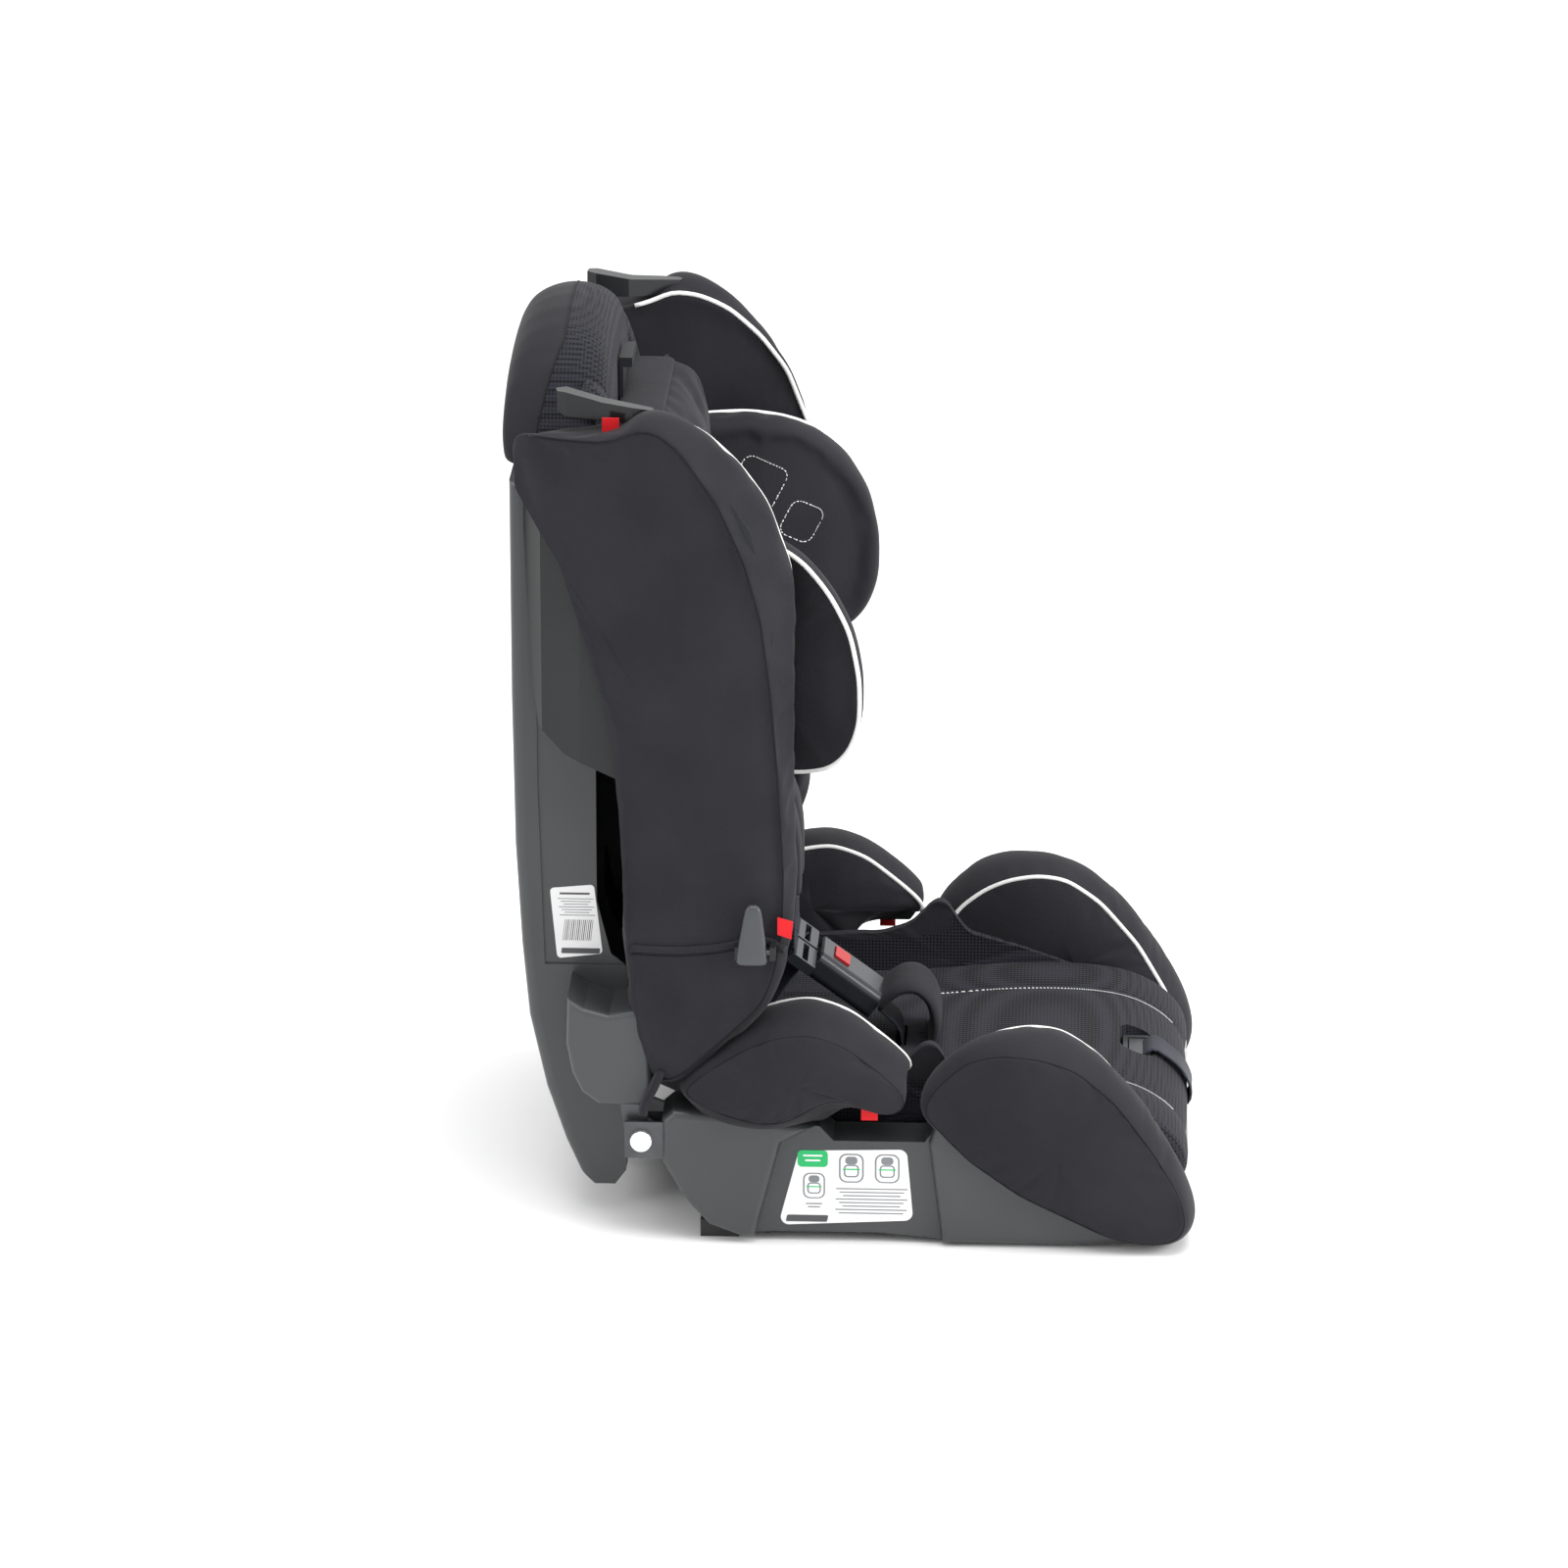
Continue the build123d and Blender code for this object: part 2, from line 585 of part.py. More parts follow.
def headrest_slider():
    """Block on the rods, and the neck that carries the headrest through the slot."""
    body = block((RAIL_X - 9, RAIL_X + 8), (-58, 58), (400, 440))
    for y in (-RAIL_Y, RAIL_Y):
        body -= rod_z(RAIL_X, y, RAIL_R + RAIL_CLEARANCE, 380, 460)
    neck = block((RAIL_X, -152), (-14, 14), (402, 438))
    body = body + neck - block((-240, -150), (-7, 7), (414, 434))
    return body - block((-156.5, -150), (-7, 7), (410, 470))


keep("guide_rods", Compound(children=guide_rods()))
keep("rod_mounts", Compound(children=rod_mounts()))
keep("height_rack", height_rack())
keep("headrest_slider", headrest_slider())


# ---------------------------------------------------------------- headrest
HEAD_SIDE = [(-149, 352), (-60, 345), (-40, 345), (-16, 352), (-2, 366), (5, 388), (5, 423), (-2, 458),
             (-17, 487), (-38, 508), (-62, 520), (-92, 526), (-125, 526), (-149, 524)]


def headrest_shell():
    """Moulded carrier: a back plate and two flared wing plates."""
    back = block((-152, -149), (-118, 118), (352, 580))
    back = fillet(back.edges().filter_by(Axis.X), 14)
    back += block((-173, -149), (-84, 84), (576, 580))
    plan = [(-152, -116), (-146, -128), (-40, -152), (-4, -170), (-2, -166), (-38, -148), (-142, -125), (-149, -114)]
    inner_side = [(-152, 358), (-62, 352), (-42, 352), (-20, 358), (-8, 372), (-2, 392), (-2, 420), (-9, 452),
                  (-22, 478), (-42, 498), (-64, 510), (-152, 518)]
    wing = side_prism(inner_side, -200, -100) & plan_prism(plan, 340, 540)
    return back + wing + mirrored(wing)


head_shell = headrest_shell()
keep("headrest_shell", head_shell)


def headrest_pad():
    """Centre pillow of the headrest."""
    outline = [(-148.8, 350), (-124, 352), (-117, 372), (-116, 470), (-118, 548), (-122, 570), (-130, 580),
               (-140, 583), (-148.8, 583)]
    return side_prism(outline, -112, 112) - head_shell


def headrest_wing():
    """Padded wing of the headrest, flaring out towards the front."""
    plan = [(-118, -112.3), (-146, -112.3), (-152, -118), (-152, -130), (-146, -137), (-100, -148), (-62, -157),
            (-36, -163), (-31, -176), (-4, -184), (6, -178), (8, -168), (-2, -154), (-34, -134), (-80, -120)]
    wing = side_prism(HEAD_SIDE, -200, -100) & plan_prism(plan, 340, 540)
    return (wing - head_shell).solids().sort_by(SortBy.VOLUME)[-1]


keep("headrest_pad", headrest_pad())
keep_pair("headrest_wing", headrest_wing())


def headrest_release():
    """Lipped pull tab behind the headrest's top, with the strip and pawl it lifts."""
    tab = block((-177.5, -174.5), (-22, 22), (558, 613))
    lip = block((-177.5, -168), (-22, 22), (606, 613))
    bridge = block((-177.5, -153.5), (-8, 8), (558, 562))
    strip = block((-155.5, -153.5), (-5, 5), (420, 562))
    pawl = block((-231.5, -153.5), (-5, 5), (418, 424))
    return tab + lip + bridge + strip + pawl


keep("headrest_release", headrest_release())


# ---------------------------------------------------------------- belt tags on the back
def guide_tag():
    """Red webbing sling round the underside of the guide's bar."""
    sling = block((-180, -167), (-180, -157), (605.5, 615)) - block((-181, -166), (-178.6, -158.4), (607, 620))
    return sling - guide - PARTS["wing_cover_right"]


def wing_tag():
    """Red webbing tab sewn into the front seam of the wing."""
    curl = plan_prism([(-51, -213), (-46, -210.8), (-37.4, -196), (-35.2, -195), (-37, -199), (-45, -212.2),
                       (-50.5, -215)], 239, 255)
    return (curl - PARTS["wing_cover_right"]).solids().sort_by(SortBy.VOLUME)[-1]


back_tags = [guide_tag().solids()[0], wing_tag()]
keep("back_belt_tags", Compound(children=back_tags + [mirrored(tag) for tag in back_tags]))


# ---------------------------------------------------------------- belt lock-off levers
def lockoff_lever():
    """Moulded lever on the wing's outer face that swings down to clamp the vehicle belt."""
    z = LEVER_Z
    plate = side_prism([(-79, z), (-60, z), (-63, 262), (-67, 266.5), (-72, 266.5), (-76, 262)], -229, -220.4)
    plate = fillet(plate.faces().sort_by(Axis.Y)[0].edges(), 2.5)
    plate -= block((-90, -50), (-232, -210), (z - 10, z + 3))
    barrel = rod_x(LEVER_Y, z, 4.0, -79.3, -59.7)
    return plate + barrel - rod_x(LEVER_Y, z, 2.05, -90, -50)


def lockoff_pin():
    """Steel hinge pin of the lever, pressed into the wing's two ears."""
    return rod_x(LEVER_Y, LEVER_Z, 2.0, -84, -55)


keep_pair("lockoff_lever", lockoff_lever())
lever_pin = lockoff_pin()
keep("lockoff_pins", Compound(children=[lever_pin, mirrored(lever_pin)]))


# ---------------------------------------------------------------- shoulder straps
def shoulder_strap():
    """Harness webbing from the slot in the back down to the tongue."""
    path = [(-165, 325), (-134, 324.6), (-112, 321), (-84, 308), (-60, 282), (-50, 250), (-49, 215), (-51, 185),
            (-51, 163), (-48, 156)]
    strap = ribbon(path, STRAP_T, -STRAP_Y - STRAP_W / 2, -STRAP_Y + STRAP_W / 2)
    strap = strap - PARTS["buckle_tongue_right"] - PARTS["back_cushion"]
    return strap.solids().sort_by(SortBy.VOLUME)[-1]


def shoulder_pad():
    """Soft sleeve round the shoulder strap."""
    path = [(-110, 318), (-84, 303.5), (-62, 279), (-53.5, 250), (-53.5, 205)]
    sleeve = ribbon(path, 8.0, -STRAP_Y - 19.5, -STRAP_Y + 19.5)
    return sleeve - strap_right


strap_right = shoulder_strap()
keep_pair("shoulder_strap", strap_right)
keep_pair("shoulder_pad", shoulder_pad())


def hip_strap():
    """Webbing from the tongue down to the rear corner of the seat."""
    path = [(-118, 79), (-100, 93), (-76, 118), (-52, 149)]
    strap = Pos(-52, -20, 0) * Rot(0, 0, 24) * Pos(52, 20, 0) * ribbon(path, STRAP_T, -35, -5)
    strap = strap - PARTS["buckle_tongue_right"] - PARTS["seat_cushion"]
    return strap.solids().sort_by(SortBy.VOLUME)[-1]


keep_pair("hip_strap", hip_strap())


# ---------------------------------------------------------------- rear label
def back_label():
    """Blank label on the recessed side of the spine."""
    outline = [(-222, 250), (-190, 253), (-184, 200), (-217, 196)]
    return side_prism(outline, -LABEL_Y - 0.4, -LABEL_Y, radius=3)


keep("back_label", back_label())


# ---------------------------------------------------------------- write
os.makedirs("parts", exist_ok=True)
for old in os.listdir("parts"):
    os.remove(os.path.join("parts", old))
for name, shape in PARTS.items():
    export_step(shape, "parts/" + name + ".step")
print(len(PARTS), "sub-parts written")
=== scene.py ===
import bpy
import math
import numpy as np
from mathutils import Matrix, Vector, noise
from mathutils.bvhtree import BVHTree


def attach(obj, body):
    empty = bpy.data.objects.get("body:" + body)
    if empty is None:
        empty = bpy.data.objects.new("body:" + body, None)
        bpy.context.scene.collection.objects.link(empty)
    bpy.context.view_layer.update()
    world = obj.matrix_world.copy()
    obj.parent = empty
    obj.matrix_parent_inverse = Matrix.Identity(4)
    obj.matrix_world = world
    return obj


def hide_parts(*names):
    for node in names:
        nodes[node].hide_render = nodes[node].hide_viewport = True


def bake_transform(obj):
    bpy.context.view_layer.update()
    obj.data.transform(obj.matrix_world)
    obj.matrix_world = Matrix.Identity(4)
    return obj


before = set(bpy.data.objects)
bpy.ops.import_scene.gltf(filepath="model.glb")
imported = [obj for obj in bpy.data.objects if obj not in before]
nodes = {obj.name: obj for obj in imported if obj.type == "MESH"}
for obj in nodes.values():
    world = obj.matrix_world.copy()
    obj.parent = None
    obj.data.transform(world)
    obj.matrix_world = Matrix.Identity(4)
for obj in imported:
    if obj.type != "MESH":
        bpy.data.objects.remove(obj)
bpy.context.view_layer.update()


# ---------------------------------------------------------------- base shell
# The booster base: one injection-moulded polypropylene shell, ribbed and hollow below,
# satin outside with a fine grain, standing on four small rubber feet.
def finish_of(name, roughness, metallic=0.0, **sockets):
    """An empty material with its plain shader numbers set."""
    made = bpy.data.materials.new(name)
    made.use_nodes = True
    shader = made.node_tree.nodes["Principled BSDF"]
    shader.inputs["Roughness"].default_value = roughness
    shader.inputs["Metallic"].default_value = metallic
    for socket, value in sockets.items():
        shader.inputs[socket.replace("_", " ")].default_value = value
    return made


def mottle(material, colour_a, colour_b, scale, roughness=None, detail=4.0):
    """Slow colour and roughness variation over the piece, from noise in its own coordinates."""
    tree = material.node_tree
    shader = tree.nodes["Principled BSDF"]
    where = tree.nodes.new("ShaderNodeTexCoord")
    cloud = tree.nodes.new("ShaderNodeTexNoise")
    cloud.inputs["Scale"].default_value = scale
    cloud.inputs["Detail"].default_value = detail
    mix = tree.nodes.new("ShaderNodeValToRGB")
    mix.color_ramp.elements[0].position = 0.35
    mix.color_ramp.elements[1].position = 0.68
    mix.color_ramp.elements[0].color = (*colour_a, 1)
    mix.color_ramp.elements[1].color = (*colour_b, 1)
    tree.links.new(where.outputs["Object"], cloud.inputs["Vector"])
    tree.links.new(cloud.outputs["Fac"], mix.inputs["Fac"])
    tree.links.new(mix.outputs["Color"], shader.inputs["Base Color"])
    if roughness:
        spread = tree.nodes.new("ShaderNodeMapRange")
        spread.inputs["To Min"].default_value = roughness[0]
        spread.inputs["To Max"].default_value = roughness[1]
        tree.links.new(cloud.outputs["Fac"], spread.inputs["Value"])
        tree.links.new(spread.outputs["Result"], shader.inputs["Roughness"])
    return where


def bump_from(material, height, strength, distance, below=None):
    """Feeds a height into the surface's bump, on top of an earlier bump if there is one."""
    tree = material.node_tree
    bump = tree.nodes.new("ShaderNodeBump")
    bump.inputs["Strength"].default_value = strength
    bump.inputs["Distance"].default_value = distance
    tree.links.new(height, bump.inputs["Height"])
    if below:
        tree.links.new(below.outputs["Normal"], bump.inputs["Normal"])
    tree.links.new(bump.outputs["Normal"], tree.nodes["Principled BSDF"].inputs["Normal"])
    return bump


def moulded(name, colour, roughness, grain=0.25, **sockets):
    """Injection-moulded plastic: spark-eroded grain, faint flow variation."""
    made = finish_of(name, roughness, **sockets)
    lighter = tuple(min(1.0, c * 1.22 + 0.002) for c in colour)
    where = mottle(made, colour, lighter, 9.0, (roughness - 0.05, roughness + 0.07))
    tree = made.node_tree
    speck = tree.nodes.new("ShaderNodeTexNoise")
    speck.inputs["Scale"].default_value = 1400.0
    speck.inputs["Detail"].default_value = 2.0
    tree.links.new(where.outputs["Object"], speck.inputs["Vector"])
    bump_from(made, speck.outputs["Fac"], grain, 0.0002)
    return made


def dress(name, material):
    """Gives a carried-over node its finish."""
    node = nodes[name]
    node.data.materials.clear()
    node.data.materials.append(material)
    node.data.polygons.foreach_set("material_index", [0] * len(node.data.polygons))


SHELL = moulded("shell_plastic", (0.030, 0.032, 0.034), 0.36, 0.3)
RUBBER = moulded("foot_rubber", (0.02, 0.02, 0.02), 0.75, 0.5)
dress("base_shell", SHELL)
dress("rubber_feet", RUBBER)


# ---------------------------------------------------------------- base label
# A white vinyl instruction sticker on the right-hand side panel: blank picture boxes and
# rules only, printed in grey and green.
def mesh_piece(name, points, faces, material, smooth=True):
    """A new piece from its points in metres and its faces."""
    mesh = bpy.data.meshes.new(name)
    mesh.from_pydata([tuple(p) for p in points], [], faces)
    mesh.update()
    mesh.polygons.foreach_set("use_smooth", [smooth] * len(mesh.polygons))
    for one in material if isinstance(material, (list, tuple)) else [material]:
        mesh.materials.append(one)
    made = bpy.data.objects.new(name, mesh)
    bpy.context.scene.collection.objects.link(made)
    return made


INK_LAYER = 0.004    # mm that each mark stands in front of the one before it
BASE_LABEL_Y = -204.45


def printed(name, y, marks, material_list):
    """Flat marks (x, z, width, height, lean, corner, ink) printed on a sticker at this y, in mm."""
    points, faces, inks = [], [], []
    for layer, (x, z, wide, high, lean, corner, ink) in enumerate(marks):
        start = len(points)
        proud = y - INK_LAYER * layer
        steps = 5
        for turn, (cx, cz) in enumerate([(1, 1), (-1, 1), (-1, -1), (1, -1)]):
            for k in range(steps):
                a = math.radians(90 * turn + 90 * k / (steps - 1))
                px = cx * (wide / 2 - corner) + corner * math.cos(a)
                pz = cz * (high / 2 - corner) + corner * math.sin(a)
                points.append(((x + px + lean * pz) / 1000, proud / 1000, (z + pz) / 1000))
        faces.append(list(range(start, len(points)))[::-1])
        inks.append(ink)
    made = mesh_piece(name, points, faces, material_list, smooth=False)
    made.data.polygons.foreach_set("material_index", inks)
    return made


STICKER = moulded("label_paper", (0.66, 0.66, 0.66), 0.4, 0.04, Specular_IOR_Level=0.3)
INK_GREEN = moulded("label_green", (0.0, 0.36, 0.10), 0.35, 0.04)
INK_GREY = moulded("label_grey", (0.17, 0.18, 0.19), 0.45, 0.04, Specular_IOR_Level=0.2)
INK_DARK = moulded("label_dark", (0.05, 0.05, 0.055), 0.4, 0.04)
INKS = [INK_GREEN, INK_GREY, INK_DARK, STICKER]
dress("base_label", STICKER)


def seat_picture(x, z, size):
    """A blank pictogram of a seat: outline, cushion and strap, as nested rounded marks."""
    return [(x, z, size, size * 1.25, 0, size * 0.3, 1),
            (x, z, size * 0.86, size * 1.13, 0, size * 0.25, 3),
            (x, z + size * 0.33, size * 0.5, size * 0.34, 0, size * 0.15, 1),
            (x, z - size * 0.12, size * 0.62, size * 0.55, 0, size * 0.16, 1),
            (x, z - size * 0.12, size * 0.48, size * 0.42, 0, size * 0.1, 3),
            (x, z - size * 0.05, size * 0.7, size * 0.06, 0.4, size * 0.02, 0)]


base_marks = [(-29, 65, 22, 13, 0, 3.2, 0), (-29, 67.3, 14, 1.3, 0, 0.4, 3), (-29, 63.6, 11, 1.3, 0, 0.4, 3)]
base_marks += seat_picture(-28, 44, 16) + seat_picture(-1, 58, 18) + seat_picture(25, 58, 18)
for row in range(8):
    base_marks.append((14 - 0.1 * row, 42 - 2.7 * row, 52 - 5 * (row % 3), 0.9, 0, 0.3, 1))
base_marks += [(-33, 18.5, 30, 5.2, 0.2, 1.0, 2), (-28, 30, 12, 0.9, 0, 0.3, 1),
               (-28, 27.5, 9, 0.9, 0, 0.3, 1)]
base_print = printed("base_label_print", BASE_LABEL_Y, base_marks, INKS)
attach(base_print, "base")


# ---------------------------------------------------------------- recline hinge
# Pressed-steel forks on the base and lugs on the back, joined each side by a bright
# zinc-plated headed pin with a retaining ring.
def metal(name, colour, roughness, scratch, **sockets):
    """Plated or painted steel with fine rubbed marks."""
    made = finish_of(name, roughness, 0.9, **sockets)
    lighter = tuple(min(1.0, c * 1.15 + 0.01) for c in colour)
    where = mottle(made, colour, lighter, 60.0, (roughness - 0.06, roughness + 0.12))
    tree = made.node_tree
    stretch = tree.nodes.new("ShaderNodeMapping")
    stretch.inputs["Scale"].default_value = (90.0, 90.0, 2200.0)
    rub = tree.nodes.new("ShaderNodeTexNoise")
    rub.inputs["Scale"].default_value = 1.0
    tree.links.new(where.outputs["Object"], stretch.inputs["Vector"])
    tree.links.new(stretch.outputs["Vector"], rub.inputs["Vector"])
    bump_from(made, rub.outputs["Fac"], scratch, 0.0002)
    return made


DARK_STEEL = metal("dark_steel", (0.075, 0.078, 0.082), 0.38, 0.2)
BRIGHT_STEEL = metal("bright_steel", (0.78, 0.78, 0.79), 0.24, 0.25)
for side in ("_right", "_left"):
    dress("hinge_bracket" + side, DARK_STEEL)
    dress("hinge_lug" + side, DARK_STEEL)
    dress("recline_rack" + side, DARK_STEEL)
    dress("recline_pin" + side, BRIGHT_STEEL)
dress("lockoff_pins", DARK_STEEL)
for piece in ("pin_clips", "crotch_anchor", "guide_rods"):
    dress(piece, BRIGHT_STEEL)


# ---------------------------------------------------------------- armrests
# Each armrest is a moulded arm wrapped in foam and stretch knit, boxed with an outer seam,
# a top band, and white piping round the inner panel. A red tab marks the belt slot.
def knit(name, colour, roughness=0.82, sheen=0.06):
    """Smooth polyester stretch knit: fine loops, faint sheen and stretch marks."""
    made = finish_of(name, roughness, Sheen_Weight=sheen, Sheen_Roughness=0.4, Specular_IOR_Level=0.22)
    lighter = tuple(c * 1.35 + 0.002 for c in colour)
    where = mottle(made, colour, lighter, 14.0, (roughness - 0.06, roughness + 0.08))
    tree = made.node_tree
    spread = tree.nodes.new("ShaderNodeVectorMath")
    spread.operation = "MULTIPLY"
    loops = 2 * math.pi / 0.0011
    spread.inputs[1].default_value = (loops, loops, loops * 0.8)
    wave = tree.nodes.new("ShaderNodeVectorMath")
    wave.operation = "SINE"
    total = tree.nodes.new("ShaderNodeVectorMath")
    total.operation = "DOT_PRODUCT"
    total.inputs[1].default_value = (0.33, 0.33, 0.33)
    tree.links.new(where.outputs["Object"], spread.inputs[0])
    tree.links.new(spread.outputs["Vector"], wave.inputs[0])
    tree.links.new(wave.outputs["Vector"], total.inputs[0])
    loops_bump = bump_from(made, total.outputs["Value"], 0.25, 0.0002)
    pull = tree.nodes.new("ShaderNodeTexNoise")
    pull.inputs["Scale"].default_value = 26.0
    pull.inputs["Detail"].default_value = 3.0
    tree.links.new(where.outputs["Object"], pull.inputs["Vector"])
    bump_from(made, pull.outputs["Fac"], 0.22, 0.004, loops_bump)
    return made


def soft_outline(corners, count, soften):
    """Evenly spaced points round a closed outline of corners in mm, its corners eased, in metres."""
    corners = np.array(corners, float) / 1000
    ring = np.vstack([corners, corners[:1]])
    length = np.r_[0, np.cumsum(np.linalg.norm(np.diff(ring, axis=0), axis=1))]
    dense = 720
    at = np.linspace(0, length[-1], dense, endpoint=False)
    line = np.column_stack([np.interp(at, length, ring[:, k]) for k in (0, 1)])
    reach = max(1, int(3 * soften / (length[-1] / dense)))
    weights = np.exp(-0.5 * (np.arange(-reach, reach + 1) / (reach / 3.0)) ** 2)
    weights /= weights.sum()
    around = np.vstack([line[-reach:], line, line[:reach]])
    eased = np.column_stack([np.convolve(around[:, k], weights, "valid") for k in (0, 1)])
    ring = np.vstack([eased, eased[:1]])
    length = np.r_[0, np.cumsum(np.linalg.norm(np.diff(ring, axis=0), axis=1))]
    at = np.linspace(0, length[-1], count, endpoint=False)
    return np.column_stack([np.interp(at, length, ring[:, k]) for k in (0, 1)])


def outward(line):
    """Unit normals pointing out of a closed outline."""
    along = np.roll(line, -1, 0) - np.roll(line, 1, 0)
    normal = np.column_stack([along[:, 1], -along[:, 0]])
    normal /= np.linalg.norm(normal, axis=1)[:, None] + 1e-12
    x, z = line[:, 0], line[:, 1]
    area = np.sum(x * np.roll(z, -1) - np.roll(x, -1) * z)
    return normal if area > 0 else -normal


def depth_at(table, along):
    """The y of a panel, in metres, from a table of (x, y) in mm."""
    table = np.array(sorted(table), float) / 1000
    return np.interp(along, table[:, 0], table[:, 1])


OPEN_RINGS = (0.10, 0.28, 0.45, 0.60, 0.72, 0.82, 0.90, 0.955, 0.985)


def pad_rings(outer, inner, outer_y, inner_y, crown, dome_out, dome_in, count, soften, wrap=None):
    """The rings of points of a sewn pad, from its outer panel's middle to its inner panel's."""
    seam_out = soft_outline(outer, count, soften)
    normal = outward(seam_out)
    if inner is None:
        seam_in = seam_out - normal * wrap
    else:
        seam_in = soft_outline(inner, count, soften)
        shift = np.argmin(np.linalg.norm(seam_in - seam_out[0], axis=1))
        seam_in = np.roll(seam_in, -shift, 0)
        if np.sum((seam_in[5] - seam_out[5]) ** 2) > np.sum((seam_in[-5] - seam_out[5]) ** 2):
            seam_in = np.roll(seam_in[::-1], 1, 0)
    bulge = depth_at(crown, seam_out[:, 0])[:, None] if isinstance(crown, list) else crown / 1000
    rings, seams = [], []

    def panel(seam, y_table, dome, direction):
        middle = seam.mean(0)
        made = []
        for share in OPEN_RINGS:
            flat = middle + share * (seam - middle)
            swell = dome / 1000 * math.sqrt(1 - share ** 3)
            y = depth_at(y_table, flat[:, 0]) + direction * swell
            made.append(np.column_stack([flat[:, 0], y, flat[:, 1]]))
        return made

    y_out, y_in = depth_at(outer_y, seam_out[:, 0]), depth_at(inner_y, seam_in[:, 0])
    rings += panel(seam_out, outer_y, dome_out, -1)
    seams.append(len(rings))
    rings.append(np.column_stack([seam_out[:, 0], y_out, seam_out[:, 1]]))
    for share in (0.05, 0.15, 0.28, 0.42, 0.56, 0.70, 0.83, 0.94):
        if inner is None:
            turn = share * math.pi / 2
            flat = seam_out - normal * wrap * (1 - math.cos(turn)) + normal * bulge * math.sin(2 * turn)
            y = y_out + (y_in - y_out) * math.sin(turn)
        else:
            flat = seam_out + (seam_in - seam_out) * share
            flat = flat + normal * bulge * math.sin(math.pi * share) ** 0.7
            y = y_out + (y_in - y_out) * share
        rings.append(np.column_stack([flat[:, 0], y, flat[:, 1]]))
    if inner is not None:
        seams.append(len(rings))
        rings.append(np.column_stack([seam_in[:, 0], y_in, seam_in[:, 1]]))
        rings += panel(seam_in, inner_y, dome_in, 1)[::-1]
    else:
        middle = seam_in.mean(0)
        for share in OPEN_RINGS[::-1]:
            flat = middle + share * (seam_in - middle)
            y = depth_at(inner_y, flat[:, 0]) + dome_in / 1000 * (1 - share * share)
            rings.append(np.column_stack([flat[:, 0], y, flat[:, 1]]))
    return rings, seams


def ring_faces(ring_count, count):
    """Quads between neighbouring rings, and a fan over each open end."""
    faces = []
    for r in range(ring_count - 1):
        for k in range(count):
            n = (k + 1) % count
            faces.append((r * count + k, r * count + n, (r + 1) * count + n, (r + 1) * count + k))
    last = ring_count * count
    for k in range(count):
        n = (k + 1) % count
        faces.append((last, n, k))
        faces.append((last + 1, (ring_count - 1) * count + k, (ring_count - 1) * count + n))
    return faces


SWELL_FRAMES = 20


def swell(piece, held, limit, pressure=4.0):
    """Blows the cover up over its foam with its seams held, then keeps the shape."""
    rest = np.array([v.co[:] for v in piece.data.vertices])
    group = piece.vertex_groups.new(name="seams")
    group.add([int(i) for i in held], 1.0, "REPLACE")
    cloth = piece.modifiers.new("cover", "CLOTH")
    cloth.settings.quality = 5
    cloth.settings.mass = 0.3
    cloth.settings.tension_stiffness = 12
    cloth.settings.compression_stiffness = 12
    cloth.settings.bending_stiffness = 0.6
    cloth.settings.vertex_group_mass = "seams"
    cloth.settings.use_pressure = True
    cloth.settings.uniform_pressure_force = pressure
    cloth.settings.effector_weights.gravity = 0
    cloth.settings.shrink_min = -0.012
    cloth.point_cache.frame_start = 1
    cloth.point_cache.frame_end = SWELL_FRAMES
    scene = bpy.context.scene
    for step in range(1, SWELL_FRAMES + 1):
        scene.frame_set(step)
    seen = piece.evaluated_get(bpy.context.evaluated_depsgraph_get())
    moved = np.array([v.co[:] for v in seen.data.vertices]) - rest
    far = np.linalg.norm(moved, axis=1)
    moved *= (np.minimum(far, limit) / (far + 1e-12))[:, None]
    piece.modifiers.remove(cloth)
    piece.vertex_groups.clear()
    piece.data.vertices.foreach_set("co", (rest + moved).ravel())
    scene.frame_set(1)
    piece.data.update()


def refine(piece, levels=1):
    """One round of subdivision, applied."""
    smooth = piece.modifiers.new("smooth", "SUBSURF")
    smooth.levels = smooth.render_levels = levels
    seen = piece.evaluated_get(bpy.context.evaluated_depsgraph_get())
    finished = bpy.data.meshes.new_from_object(seen)
    piece.modifiers.remove(smooth)
    old = piece.data
    piece.data = finished
    bpy.data.meshes.remove(old)
    finished.name = piece.name
    finished.polygons.foreach_set("use_smooth", [True] * len(finished.polygons))


def face_out(piece, middle):
    """Turns the faces outward, away from the middle of the piece."""
    middle = Vector(middle)
    if sum((v.co - middle).dot(v.normal) for v in piece.data.vertices) < 0:
        piece.data.flip_normals()


def gather(points, rings, seams, count, depth, pitch):
    """Small gathers where the cover is drawn in along its seams."""
    points = points.copy()
    for ring in range(rings):
        near = min(abs(ring - s) for s in seams)
        if near == 0 or near > 4:
            continue
        centre = points[ring * count:(ring + 1) * count].mean(0)
        for k in range(count):
            p = points[ring * count + k]
            ripple = noise.noise(Vector((p[0], p[1] * 0.3, p[2])) / pitch)
            pull = (p - centre) / (np.linalg.norm(p - centre) + 1e-9)
            points[ring * count + k] += pull * ripple * depth * (1.1 - 0.25 * near)
    return points


def mirrored(piece, name):
    """The same piece for the child's left."""
    twin = piece.copy()
    twin.data = piece.data.copy()
    twin.name = twin.data.name = name
    twin.data.transform(((1, 0, 0, 0), (0, -1, 0, 0), (0, 0, 1, 0), (0, 0, 0, 1)))
    twin.data.flip_normals()
    bpy.context.scene.collection.objects.link(twin)
    return twin


